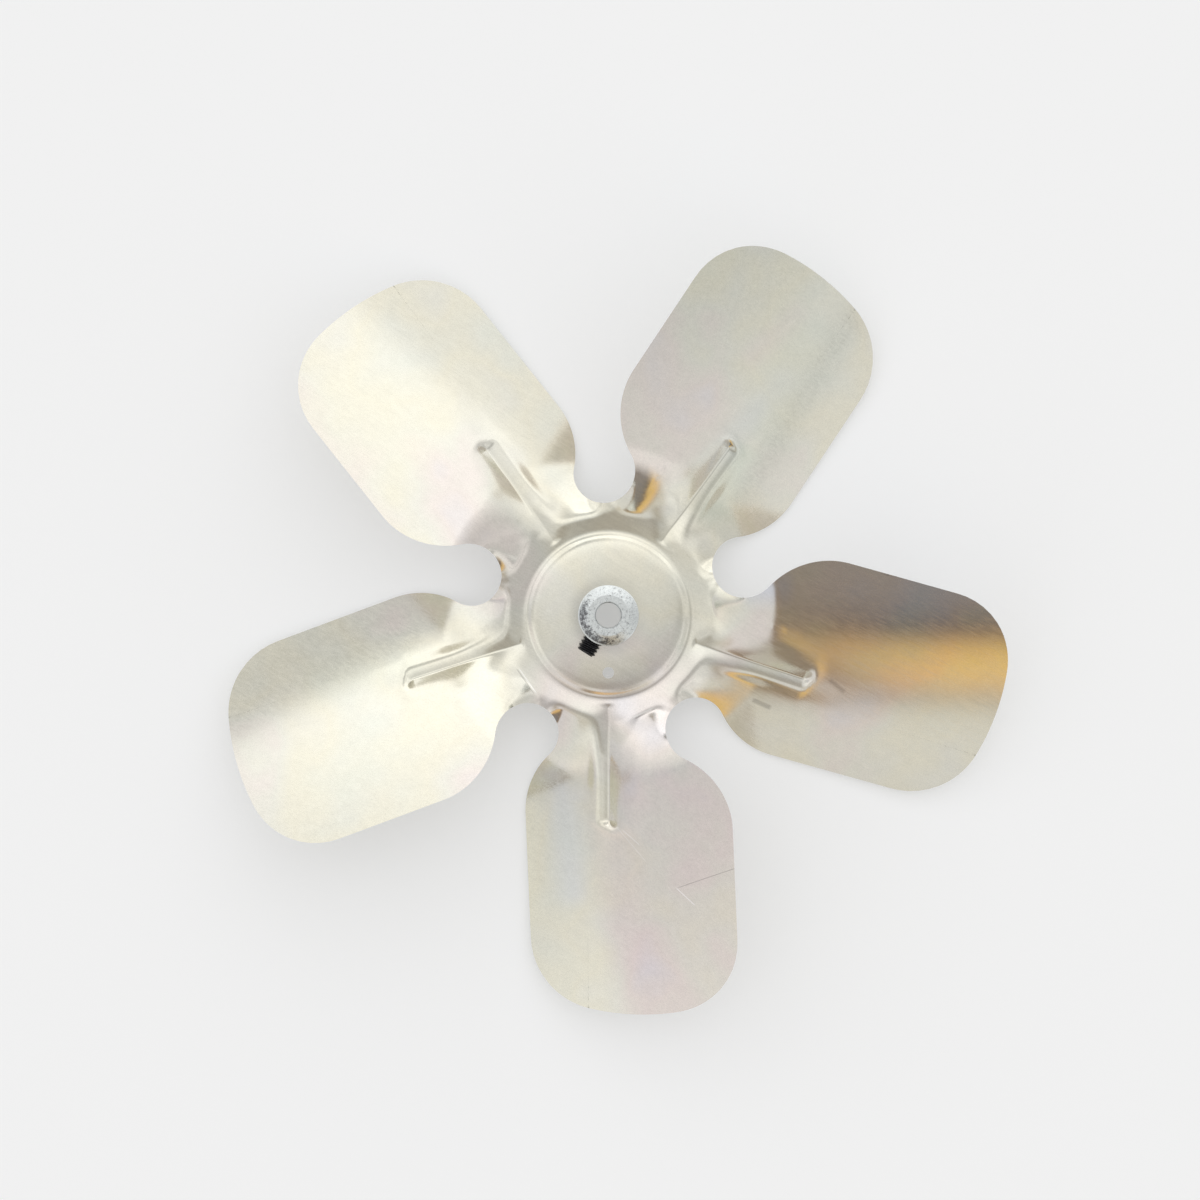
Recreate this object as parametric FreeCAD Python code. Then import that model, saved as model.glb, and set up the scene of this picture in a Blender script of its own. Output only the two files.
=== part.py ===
"""Five-blade axial fan impeller: one pressed sheet spider, a turned hub staked into it, and a set screw.

Millimetres. The Z axis is the shaft axis. The origin lies on it, in the face of the centre disc that
the hub's shoulder seats on, and +Z points out of the hub's free end. Every blade is drawn once in its
own frame, with u across the blade, v outward along its groove and z up, and is then turned into place.
"""
import FreeCAD, Part
import math
import os

from FreeCAD import Vector

# Blade spider: sheet and centre dish, with bend radii measured on the inside of each bend
blade_count = 5
sheet_gauge = 0.9
disc_flat_radius = 21.4
rim_width = 2.4
rim_drop = 0.5
rim_flank_run = 2.4
valley_below_disc = 1.65
valley_wall_run = 5.8
crest_above_valley = 0.95
ring_width = 4.6
disc_edge_bend_radius = 12.0
rim_bend_radius = 6.0
valley_bend_radius = 2.4
crest_bend_radius = 9.0
index_hole_diameter = 3.7
index_hole_pitch_radius = 18.3
index_hole_angle = 270.0
spigot_clearance = 0.2

# Blade spider: blade outline, seen along the shaft
swept_radius = 127.0
first_blade_angle = 270.0
blade_lean_angle = 2.5
high_edge_offset = 35.6
low_edge_offset = 29.4
tip_arc_radius = 69.0
tip_arc_angle = 6.4
high_corner_radius = 23.5
low_corner_radius = 23.0
high_root_radius = 24.2
low_root_radius = 25.0
notch_radius = 9.8
notch_bite = 0.8
notch_shift_angle = 1.7

# Blade spider: blade surface
pitch_angle = 25.0
camber_radius = 238.0
washout_per_mm = 0.0032
washout_start_radius = 86.0
root_blend_length = 21.0

# Blade spider: stiffening groove along the middle of each blade root
groove_start_radius = 29.0
groove_length = 37.0
groove_depth_at_start = 0.92
groove_depth_at_end = 1.2
groove_floor_width = 0.3
groove_high_width_at_start = 3.5
groove_low_width_at_start = 3.05
groove_high_width_at_end = 2.8
groove_low_width_at_end = 2.9
groove_end_run = 1.6
groove_end_floor_share = 0.55

# Hub
bore_diameter = 7.94
bore_chamfer = 0.35
hub_diameter = 19.05
hub_barrel_length = 15.9
hub_land_width = 2.08
hub_bevel_drop = 1.3
hub_rim_chamfer = 0.4
spigot_diameter = 13.6
stake_lip_width = 1.5
stake_thickness = 1.3
stake_chamfer = 0.5

# Set screw
screw_diameter = 6.35
screw_length = 9.52
screw_angle = 238.0
screw_depth_below_end = 7.6
screw_point_retraction = 0.42
screw_hole_clearance = 0.15
screw_chamfer = 0.7
screw_socket_flats = 3.18
screw_socket_depth = 3.4
screw_cup_diameter = 3.6
screw_cup_depth = 0.9

# How finely the blade surface and the groove are drawn, and how far each cut reaches past the sheet
surface_columns = 14
blend_rows = 8
outer_rows = 14
surface_margin = 3.0
groove_blade_stations = 4
groove_run_out = 0.2
groove_flank_overreach = 0.9
seam_tolerance = 1e-3

# Derived heights, radii and angles
disc_z = 0.0
hub_end_z = disc_z + hub_barrel_length
screw_axis_z = hub_end_z - screw_depth_below_end
valley_z = disc_z - valley_below_disc
crest_z = valley_z + crest_above_valley
rim_radius = disc_flat_radius + rim_width
valley_radius = rim_radius + rim_flank_run
crest_radius = valley_radius + valley_wall_run
ring_outer_radius = crest_radius + ring_width
groove_end_radius = groove_start_radius + groove_length
notch_centre_radius = ring_outer_radius + notch_radius - notch_bite
blade_step_angle = 360.0 / blade_count
notch_angle = blade_step_angle / 2 + notch_shift_angle
camber_centre_u = camber_radius * math.sin(math.radians(pitch_angle))
camber_centre_z = camber_radius * math.cos(math.radians(pitch_angle))
hub_radius = hub_diameter / 2
bore_radius = bore_diameter / 2
spigot_radius = spigot_diameter / 2
hub_hole_radius = spigot_radius + spigot_clearance
Z_AXIS = Vector(0, 0, 1)


def turned(shape, angle):
    """Return a copy of the shape turned about the shaft axis by an angle in degrees."""
    copy = shape.copy()
    copy.rotate(Vector(0, 0, 0), Z_AXIS, angle)
    return copy


def repeated_on_blades(shape):
    """Return one copy of a shape from the blade frame for each blade."""
    first_turn = first_blade_angle - 90.0
    return [turned(shape, first_turn + i * blade_step_angle) for i in range(blade_count)]


def offset_points(points, distance):
    """Shift a run of straight lines sideways by a distance, with mitred corners."""
    normals = []
    for start, end in zip(points, points[1:]):
        run = (end - start).normalize()
        normals.append(Vector(run.z, 0, -run.x))
    shifted = [points[0] + normals[0] * distance]
    for corner, before, after in zip(points[1:-1], normals, normals[1:]):
        middle = (before + after).normalize()
        shifted.append(corner + middle * (distance / middle.dot(before)))
    shifted.append(points[-1] + normals[-1] * distance)
    return shifted


def rounded_run(points, radii):
    """Join points by lines, with each inner corner rounded by the radius given for it."""
    edges = []
    start = points[0]
    for before, corner, after, radius in zip(points, points[1:], points[2:], radii):
        back = (before - corner).normalize()
        ahead = (after - corner).normalize()
        half_angle = back.getAngle(ahead) / 2
        reach = radius / math.tan(half_angle)
        centre = corner + (back + ahead).normalize() * (radius / math.sin(half_angle))
        arc_start = corner + back * reach
        arc_end = corner + ahead * reach
        arc_middle = centre + (corner - centre).normalize() * radius
        edges.append(Part.LineSegment(start, arc_start).toShape())
        edges.append(Part.Arc(arc_start, arc_middle, arc_end).toShape())
        start = arc_end
    edges.append(Part.LineSegment(start, points[-1]).toShape())
    return edges


def revolved(edges):
    """Revolve a closed run of edges in the XZ plane about the shaft axis."""
    face = Part.Face(Part.Wire(Part.__sortEdges__(edges)))
    return face.revolve(Vector(0, 0, 0), Z_AXIS, 360)


def revolved_outline(points):
    """Revolve a closed outline of straight lines, given as (radius, height) pairs."""
    corners = [Vector(radius, 0, height) for radius, height in points]
    return revolved(Part.makePolygon(corners + corners[:1]).Edges)


# Centre dish

dish_corners = [
    Vector(hub_hole_radius, 0, disc_z),
    Vector(disc_flat_radius, 0, disc_z),
    Vector(rim_radius, 0, disc_z - rim_drop),
    Vector(valley_radius, 0, valley_z),
    Vector(crest_radius, 0, crest_z),
    Vector(ring_outer_radius, 0, crest_z),
]


def make_dish():
    """Revolve the raised disc, its rim, the valley round it and the ring that carries the blades."""
    hub_side_radii = [
        disc_edge_bend_radius + sheet_gauge,
        rim_bend_radius + sheet_gauge,
        valley_bend_radius,
        crest_bend_radius + sheet_gauge,
    ]
    back_radii = [
        disc_edge_bend_radius,
        rim_bend_radius,
        valley_bend_radius + sheet_gauge,
        crest_bend_radius,
    ]
    back_corners = offset_points(dish_corners, sheet_gauge)
    hub_side = rounded_run(dish_corners, hub_side_radii)
    back = rounded_run(back_corners, back_radii)
    inner_end = Part.LineSegment(dish_corners[0], back_corners[0]).toShape()
    outer_end = Part.LineSegment(dish_corners[-1], back_corners[-1]).toShape()
    return revolved(hub_side + back + [inner_end, outer_end])


def dish_height(radius):
    """Height of the dish's hub side at a radius, without its roundings."""
    for inner, outer in zip(dish_corners, dish_corners[1:]):
        if radius <= outer.x:
            share = (radius - inner.x) / (outer.x - inner.x)
            return inner.z + share * (outer.z - inner.z)
    return crest_z


# Blade surface

def chord_height(u):
    """Height of the cambered chord at u: an arc that passes the rib line at the pitch angle."""
    return camber_centre_z - math.sqrt(camber_radius ** 2 - (u - camber_centre_u) ** 2)


def chord_slope(u):
    """Slope of the cambered chord at u."""
    return (u - camber_centre_u) / math.sqrt(camber_radius ** 2 - (u - camber_centre_u) ** 2)


def pitch_share(u, v):
    """How much of the full pitch the sheet has at a point: none on the ring, less again at the tip."""
    reach = min((math.hypot(u, v) - ring_outer_radius) / root_blend_length, 1.0)
    washout = 1 - washout_per_mm * (v - washout_start_radius)
    return reach * (2 - reach) * washout


def blade_height(u, v, depth=0.0):
    """Height of the blade at a point, at a depth below its hub side measured square to the sheet."""
    share = pitch_share(u, v)
    slope = share * chord_slope(u)
    return crest_z + share * chord_height(u) - depth * math.sqrt(1 + slope ** 2)


def blade_surface(depth, overlap):
    """Spline surface through the blade at a depth, reaching past the outline by an overlap."""
    half_sector = math.radians(blade_step_angle / 2 + overlap)
    margin = surface_margin + overlap
    blend_end = ring_outer_radius + root_blend_length
    outer_run = swept_radius + margin - blend_end
    rows = [ring_outer_radius - margin, ring_outer_radius]
    rows += [ring_outer_radius + root_blend_length * i / blend_rows for i in range(1, blend_rows + 1)]
    rows += [blend_end + outer_run * i / outer_rows for i in range(1, outer_rows + 1)]
    grid = []
    for radius in rows:
        line = []
        for i in range(surface_columns + 1):
            angle = half_sector * (1 - 2 * i / surface_columns)
            u = -radius * math.sin(angle)
            v = radius * math.cos(angle)
            line.append(Vector(u, v, blade_height(u, v, depth)))
        grid.append(line)
    surface = Part.BSplineSurface()
    surface.interpolate(grid)
    return surface.toShape()


# Blade outline

def leaned(x, y):
    """Turn a point from the leaned frame of the blade's edges into the blade frame."""
    lean = math.radians(blade_lean_angle)
    u = x * math.cos(lean) - y * math.sin(lean)
    v = x * math.sin(lean) + y * math.cos(lean)
    return Vector(u, v, 0)


def unleaned(point):
    """Turn a point from the blade frame into the leaned frame of the blade's edges."""
    lean = math.radians(blade_lean_angle)
    x = point.x * math.cos(lean) + point.y * math.sin(lean)
    y = point.y * math.cos(lean) - point.x * math.sin(lean)
    return x, y


def polar_point(radius, angle):
    """Point in the blade frame at an angle in degrees from the rib, towards the high edge."""
    turn = math.radians(angle)
    return Vector(-radius * math.sin(turn), radius * math.cos(turn), 0)


def towards(start, end, distance):
    """Point at a distance from start on the line to end."""
    return start + (end - start).normalize() * distance


def centre_at(fixed_centre, distance, x_leaned):
    """Centre at a distance from a fixed one, on its outer side, with its leaned x given."""
    fixed_x, fixed_y = unleaned(fixed_centre)
    rise = math.sqrt(distance ** 2 - (x_leaned - fixed_x) ** 2)
    return leaned(x_leaned, fixed_y + rise)


def arc(start, end, centre, radius):
    """Arc about a centre, on the side of its chord away from the centre."""
    return Part.Arc(start, towards(centre, (start + end) * 0.5, radius), end).toShape()


def ring_crossing(notch_centre, side):
    """Where a notch circle crosses the outer edge of the ring, on the blade's side of the notch."""
    cosine = notch_centre_radius ** 2 + ring_outer_radius ** 2 - notch_radius ** 2
    half = math.degrees(math.acos(cosine / (2 * notch_centre_radius * ring_outer_radius)))
    centre_angle = math.degrees(math.atan2(-notch_centre.x, notch_centre.y))
    return polar_point(ring_outer_radius, centre_angle + side * half)


def half_outline(edge_x, outward, corner_radius, root_radius, notch_centre, tip_centre):
    """Edges of one side of the blade, from the ring to the tip arc, and where each end lies."""
    corner_x = edge_x - outward * corner_radius
    root_x = edge_x - outward * root_radius
    corner_centre = centre_at(tip_centre, tip_arc_radius - corner_radius, corner_x)
    root_centre = centre_at(notch_centre, root_radius + notch_radius, root_x)
    ring_point = ring_crossing(notch_centre, outward)
    notch_end = towards(notch_centre, root_centre, notch_radius)
    root_end = leaned(edge_x, unleaned(root_centre)[1])
    corner_start = leaned(edge_x, unleaned(corner_centre)[1])
    tip_point = towards(tip_centre, corner_centre, tip_arc_radius)
    edges = [
        arc(ring_point, notch_end, notch_centre, notch_radius),
        arc(notch_end, root_end, root_centre, root_radius),
        Part.LineSegment(root_end, corner_start).toShape(),
        arc(corner_start, tip_point, corner_centre, corner_radius),
    ]
    return edges, ring_point, tip_point


def make_outline():
    """Closed outline of one blade, from the ring outwards, seen along the shaft."""
    tip_centre = polar_point(swept_radius - tip_arc_radius, tip_arc_angle)
    high_notch = polar_point(notch_centre_radius, notch_angle)
    low_notch = polar_point(notch_centre_radius, notch_angle - blade_step_angle)
    high_edges, high_ring, high_tip = half_outline(
        -high_edge_offset, -1, high_corner_radius, high_root_radius, high_notch, tip_centre)
    low_edges, low_ring, low_tip = half_outline(
        low_edge_offset, 1, low_corner_radius, low_root_radius, low_notch, tip_centre)
    tip_edge = arc(high_tip, low_tip, tip_centre, tip_arc_radius)
    ring_edge = arc(high_ring, low_ring, Vector(0, 0, 0), ring_outer_radius)
    return Part.Wire(Part.__sortEdges__(high_edges + low_edges + [tip_edge, ring_edge]))


def make_blade():
    """One blade: the slab between its two surfaces, trimmed to the outline."""
    reach = swept_radius
    below_hub_side = blade_surface(0.0, 0.0).extrude(Vector(0, 0, -reach))
    above_back = blade_surface(sheet_gauge, 1.0).extrude(Vector(0, 0, reach))
    outline = Part.Face(make_outline())
    outline.translate(Vector(0, 0, crest_z - reach))
    prism = outline.extrude(Vector(0, 0, 2 * reach))
    return below_hub_side.common(above_back).common(prism)


# Stiffening groove

def surface_height(u, v, depth=0.0):
    """Height of the dish or the blade near the rib line, at a depth below its hub side."""
    radius = math.hypot(u, v)
    if radius < ring_outer_radius:
        return dish_height(radius) - depth
    return blade_height(u, v, depth)


def groove_line(v):
    """Groove across the rib at v: its high edge, the two sides of its level floor, and its low edge."""
    share = (v - groove_start_radius) / groove_length
    high = groove_high_width_at_start + share * (groove_high_width_at_end - groove_high_width_at_start)
    low = groove_low_width_at_start + share * (groove_low_width_at_end - groove_low_width_at_start)
    depth = groove_depth_at_start + share * (groove_depth_at_end - groove_depth_at_start)
    outer_v = max(v, ring_outer_radius)
    return [
        Vector(-high, v, blade_height(-high, outer_v)),
        Vector(-groove_floor_width / 2, v, crest_z - depth),
        Vector(groove_floor_width / 2, v, crest_z - depth),
        Vector(low, v, blade_height(low, outer_v)),
    ]


def groove_end_line(v):
    """Groove past one of its ends at v, spread and raised until its floor clears the sheet."""
    high_edge, floor_high, floor_low, low_edge = groove_line(v)
    floor_z = floor_high.z
    floor_high.x = high_edge.x * groove_end_floor_share
    floor_low.x = low_edge.x * groove_end_floor_share
    floor_high.z = surface_height(floor_high.x, v) + groove_run_out
    floor_low.z = surface_height(floor_low.x, v) + groove_run_out
    lift = floor_high.z - floor_z
    high_edge.z += lift
    low_edge.z += lift
    return [high_edge, floor_high, floor_low, low_edge]


def groove_space(line):
    """Section of the groove's space, with its flanks carried on above the sheet."""
    high_edge, floor_high, floor_low, low_edge = line
    high_top = high_edge + (high_edge - floor_high) * groove_flank_overreach
    low_top = low_edge + (low_edge - floor_low) * groove_flank_overreach
    return Part.makePolygon([high_top, floor_high, floor_low, low_top, high_top])


def groove_wall(line):
    """Section of the sheet pressed round the groove, with its flanks ending inside the sheet."""
    shifted = offset_points(line, sheet_gauge)
    for edge in (shifted[0], shifted[-1]):
        edge.z = surface_height(edge.x, edge.y, sheet_gauge / 2)
    return Part.makePolygon(shifted + shifted[:1])


def make_groove(section):
    """Loft a groove section from the groove's start on the dish's wall out to its end on the blade."""
    step = (groove_end_radius - ring_outer_radius) / groove_blade_stations
    stations = [groove_start_radius, crest_radius]
    stations += [ring_outer_radius + step * i for i in range(groove_blade_stations + 1)]
    lines = [groove_end_line(groove_start_radius - groove_end_run)]
    lines += [groove_line(v) for v in stations]
    lines.append(groove_end_line(groove_end_radius + groove_end_run))
    return Part.makeLoft([section(line) for line in lines], True, True)


def make_notch():
    """Cylinder that cuts the root notch beside a blade out of the ring."""
    height = 4 * sheet_gauge
    base = polar_point(notch_centre_radius, notch_angle)
    base.z = crest_z - height / 2
    return Part.makeCylinder(notch_radius, height, base)


def make_index_hole():
    """Cylinder that cuts the index hole through the disc."""
    turn = math.radians(index_hole_angle)
    x = index_hole_pitch_radius * math.cos(turn)
    y = index_hole_pitch_radius * math.sin(turn)
    base = Vector(x, y, disc_z - 2 * sheet_gauge)
    return Part.makeCylinder(index_hole_diameter / 2, 3 * sheet_gauge, base)


def make_blade_spider():
    """The pressed sheet: dish, blades, grooves, root notches, and the index hole through the disc."""
    spider = make_dish().cut(repeated_on_blades(make_notch()))
    spider = spider.fuse(repeated_on_blades(make_blade()), seam_tolerance)
    spider = spider.fuse(repeated_on_blades(make_groove(groove_wall)))
    spider = spider.cut(repeated_on_blades(make_groove(groove_space)))
    return spider.cut(make_index_hole()).removeSplitter()


# Hub and set screw

def screw_placed(shape):
    """Lay a shape made along +X from the shaft axis into the set screw's place."""
    placed = turned(shape, screw_angle)
    placed.translate(Vector(0, 0, screw_axis_z))
    return placed


def make_hub():
    """Turned hub: bevelled free end, barrel, and a spigot staked over the back of the disc."""
    stake_top = disc_z - sheet_gauge
    stake_end = stake_top - stake_thickness
    stake_radius = spigot_radius + stake_lip_width
    bevel_end = hub_end_z - hub_bevel_drop
    mouth_radius = bore_radius + bore_chamfer
    body = revolved_outline([
        (mouth_radius, hub_end_z),
        (mouth_radius + hub_land_width, hub_end_z),
        (hub_radius - hub_rim_chamfer, bevel_end),
        (hub_radius, bevel_end - hub_rim_chamfer),
        (hub_radius, disc_z),
        (spigot_radius, disc_z),
        (spigot_radius, stake_top),
        (stake_radius, stake_top),
        (stake_radius, stake_end + stake_chamfer),
        (stake_radius - stake_chamfer, stake_end),
        (mouth_radius, stake_end),
        (bore_radius, stake_end + bore_chamfer),
        (bore_radius, hub_end_z - bore_chamfer),
    ])
    hole_radius = screw_diameter / 2 + screw_hole_clearance
    hole = Part.makeCylinder(hole_radius, hub_diameter, Vector(0, 0, 0), Vector(1, 0, 0))
    return body.cut(screw_placed(hole))


def make_set_screw():
    """Socket set screw with a cup point, standing proud of the hub's barrel."""
    radius = screw_diameter / 2
    point_x = bore_radius + screw_point_retraction
    end_x = point_x + screw_length
    along = Vector(1, 0, 0)
    profile = [
        Vector(point_x + screw_cup_depth, 0, 0),
        Vector(point_x, screw_cup_diameter / 2, 0),
        Vector(point_x, radius - screw_chamfer, 0),
        Vector(point_x + screw_chamfer, radius, 0),
        Vector(end_x - screw_chamfer, radius, 0),
        Vector(end_x, radius - screw_chamfer, 0),
        Vector(end_x, 0, 0),
    ]
    body = Part.Face(Part.makePolygon(profile + profile[:1])).revolve(Vector(0, 0, 0), along, 360)
    corner_radius = screw_socket_flats / math.sqrt(3)
    corners = []
    for i in range(6):
        turn = math.radians(60 * i)
        corners.append(Vector(end_x, corner_radius * math.cos(turn), corner_radius * math.sin(turn)))
    socket = Part.Face(Part.makePolygon(corners + corners[:1])).extrude(along * -screw_socket_depth)
    return screw_placed(body.cut(socket))


def main():
    """Build each piece and write it to its own file."""
    os.makedirs("parts", exist_ok=True)
    pieces = {
        "blade_spider": make_blade_spider(),
        "hub": make_hub(),
        "set_screw": make_set_screw(),
    }
    for name, shape in pieces.items():
        solids = len(shape.Solids)
        print(name, "solids", solids, "valid", shape.isValid(), "volume", round(shape.Volume, 1))
        shape.exportStep("parts/" + name + ".step")


main()
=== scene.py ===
"""Looks of an axial fan impeller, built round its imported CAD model.

The pressed sheet, the turned hub and the set screw are each modelled finer than the CAD pieces that
they stand for, from the same sizes and in the same frame: metres, with Z along the shaft and the
origin in the face of the centre disc that the hub's shoulder seats on.
"""

import logging
import math
from contextlib import contextmanager
from dataclasses import dataclass
from enum import Enum
from functools import cached_property
from typing import Iterator, Sequence

import bpy
from bpy.types import Material, Node, NodeSocket as Socket, NodeTree, Object
from mathutils import Matrix, Vector


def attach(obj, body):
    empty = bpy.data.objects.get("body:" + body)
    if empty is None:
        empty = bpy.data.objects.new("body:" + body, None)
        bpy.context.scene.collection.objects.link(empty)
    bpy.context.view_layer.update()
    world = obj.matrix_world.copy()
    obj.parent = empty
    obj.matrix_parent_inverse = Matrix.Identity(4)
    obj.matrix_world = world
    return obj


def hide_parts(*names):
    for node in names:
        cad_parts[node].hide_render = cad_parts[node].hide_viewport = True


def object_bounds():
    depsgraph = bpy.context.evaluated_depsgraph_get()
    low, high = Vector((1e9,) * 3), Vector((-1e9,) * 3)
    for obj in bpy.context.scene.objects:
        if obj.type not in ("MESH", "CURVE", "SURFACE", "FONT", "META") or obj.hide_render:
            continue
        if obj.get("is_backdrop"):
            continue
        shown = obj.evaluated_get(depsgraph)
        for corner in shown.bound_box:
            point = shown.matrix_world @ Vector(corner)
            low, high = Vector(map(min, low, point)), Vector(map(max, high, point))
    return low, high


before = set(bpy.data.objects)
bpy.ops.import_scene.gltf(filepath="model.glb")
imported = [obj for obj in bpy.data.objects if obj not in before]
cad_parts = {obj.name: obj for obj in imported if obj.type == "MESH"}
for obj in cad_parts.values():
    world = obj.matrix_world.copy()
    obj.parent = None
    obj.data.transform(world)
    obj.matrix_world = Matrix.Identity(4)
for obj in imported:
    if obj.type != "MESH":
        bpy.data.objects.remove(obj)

MM = 0.001
ORIGIN = (0.0, 0.0, 0.0)
WELD_DISTANCE = 0.002 * MM
FLOOR_GAP = 0.02 * MM
SHEET_GAUGE = 0.9 * MM
SCREW_ANGLE = math.radians(238.0)
BODY = "root"
LOG = logging.getLogger("impeller")


class Coat(Enum):
    """The record's material slots."""

    SHEET = "passivated_sheet"
    HUB = "plated_hub"
    SCREW = "black_screw"


class Keep(Enum):
    """Which part of a piece stays when a closed mesh cuts it."""

    OUTSIDE = "DIFFERENCE"
    INSIDE = "INTERSECT"


class Blend(Enum):
    """How one colour is laid over another."""

    COVER = "MIX"
    TINT = "MULTIPLY"


class Curve(Enum):
    """How a value changes between two limits."""

    STRAIGHT = "LINEAR"
    SMOOTH = "SMOOTHSTEP"


class Side(Enum):
    """Sides of a blade about its rib, as places in a pair of sizes."""

    HIGH = 0
    LOW = 1

    @property
    def outward(self) -> float:
        """Direction off the rib along the blade frame's first axis, -1 or 1."""
        return 2.0 * self.value - 1.0


class Zone(Enum):
    """Zones of a blade's sector, from the rib outwards."""

    BAND = "band"
    FLANK = "flank"
    NOTCH = "notch"


# Small modelling steps


def deselect_all() -> None:
    """Leave edit mode, and leave nothing selected or active."""
    if bpy.context.object is not None and bpy.context.object.mode != "OBJECT":
        bpy.ops.object.mode_set(mode="OBJECT")
    for item in bpy.context.selected_objects:
        item.select_set(False)
    bpy.context.view_layer.objects.active = None


def pick(*items: Object) -> None:
    """Select the given objects alone, and make the first one active.

    Args:
        items: The objects to select.
    """
    deselect_all()
    for item in items:
        item.select_set(True)
    bpy.context.view_layer.objects.active = items[0]


@contextmanager
def whole_mesh(item: Object) -> Iterator[None]:
    """Open a mesh in edit mode with all of it selected, and close it afterwards.

    Args:
        item: The mesh object, which stays picked.

    Yields:
        Nothing, while the mesh is open.
    """
    pick(item)
    bpy.ops.object.mode_set(mode="EDIT")
    bpy.ops.mesh.select_all(action="SELECT")
    yield
    bpy.ops.object.mode_set(mode="OBJECT")


def named(item: Object, name: str) -> Object:
    """Name an object and its mesh, and return the object."""
    item.name = item.data.name = name
    return item


def apply_place(*items: Object) -> None:
    """Put the place, turn and scale of objects into their meshes."""
    pick(*items)
    bpy.ops.object.transform_apply(location=True, rotation=True, scale=True)


def weld(item: Object, distance: float = WELD_DISTANCE) -> None:
    """Merge vertices that lie together and turn all faces outwards.

    Args:
        item: The mesh object.
        distance: Vertices nearer than this become one, in metres.
    """
    with whole_mesh(item):
        bpy.ops.mesh.remove_doubles(threshold=distance)
        bpy.ops.mesh.normals_make_consistent(inside=False)


def round_edges(item: Object, width: float, angle: float) -> None:
    """Round every edge sharper than an angle, and keep the broad faces' shading flat beside it.

    Args:
        item: The mesh object.
        width: Width of the rounding, in metres.
        angle: Edges that turn by more than this are rounded, in radians.
    """
    pick(item)
    bevel = item.modifiers.new("edge", "BEVEL")
    bevel.limit_method = "ANGLE"
    bevel.angle_limit = angle
    bevel.width = width
    bevel.segments = 2
    bevel.harden_normals = True
    bpy.ops.object.shade_smooth()
    bpy.ops.object.modifier_apply(modifier=bevel.name)


def cut(item: Object, cutter: Object, keep: Keep) -> None:
    """Cut a closed mesh by another, and delete the cutter.

    Args:
        item: The mesh object that is cut.
        cutter: The closed mesh that cuts it.
        keep: The part of the item that stays.
    """
    pick(item)
    boolean = item.modifiers.new("cut", "BOOLEAN")
    boolean.operation = keep.value
    boolean.solver = "EXACT"
    boolean.object = cutter
    bpy.ops.object.modifier_apply(modifier=boolean.name)
    bpy.data.objects.remove(cutter)


def drill(item: Object, sides: int, radius: float, depth: float, place: Sequence[float],
          turn: Sequence[float] = ORIGIN) -> None:
    """Cut a hole.

    Args:
        item: The mesh object that is cut.
        sides: Number of the hole's sides.
        radius: Its radius, measured to its corners.
        depth: Length of the drill, half of it on each side of its place.
        place: Middle of the drill.
        turn: Turn of the drill from upright, in radians.
    """
    deselect_all()
    bpy.ops.mesh.primitive_cylinder_add(vertices=sides, radius=radius, depth=depth, location=place, rotation=turn)
    cut(item, bpy.context.object, Keep.OUTSIDE)


def polyline(points: Sequence[tuple[float, float]], name: str) -> Object:
    """Draw a run of edges in the XZ plane, one extruded vertex after another.

    Args:
        points: The (x, z) corners, in metres.
        name: Name of the new object.

    Returns:
        The new mesh object, with edges only.
    """
    deselect_all()
    first_x, first_z = points[0]
    bpy.ops.mesh.primitive_plane_add(size=1.0, location=(first_x, 0.0, first_z))
    item = named(bpy.context.object, name)
    apply_place(item)
    with whole_mesh(item):
        bpy.ops.mesh.select_mode(type="VERT")
        bpy.ops.mesh.merge(type="CENTER")
        for (x0, z0), (x1, z1) in zip(points, points[1:]):
            step = (x1 - x0, 0.0, z1 - z0)
            bpy.ops.mesh.extrude_vertices_move(TRANSFORM_OT_translate={"value": step})
    return item


def turned(points: Sequence[tuple[float, float]], name: str, axis: Sequence[float], steps: int) -> Object:
    """Turn a body from its profile, as on a lathe.

    Args:
        points: The profile's (x, z) corners, in metres.
        name: Name of the new object.
        axis: Direction of the axis, through the origin.
        steps: Number of steps in a full turn.

    Returns:
        The new mesh object, closed.
    """
    body = polyline(points, name)
    with whole_mesh(body):
        bpy.ops.mesh.spin(steps=steps, angle=math.tau, center=ORIGIN, axis=axis)
    weld(body)
    return body


def place_finished(item: Object, node: str, material: Material) -> None:
    """Dress a finished piece and let it stand for its CAD node.

    Args:
        item: The finished mesh object.
        node: The CAD node that it stands for.
        material: The finish.
    """
    item.data.materials.clear()
    item.data.materials.append(material)
    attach(item, BODY)
    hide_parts(node)
    LOG.info("%s stands for %s with %d faces", item.name, node, len(item.data.polygons))


# Shader graphs


def rgba(colour: object) -> object:
    """An RGB tuple or a grey level as RGBA, and a socket as it is."""
    shade = (colour,) * 3 if isinstance(colour, (int, float)) else colour
    return (*shade, 1.0) if isinstance(shade, tuple) else shade


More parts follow.
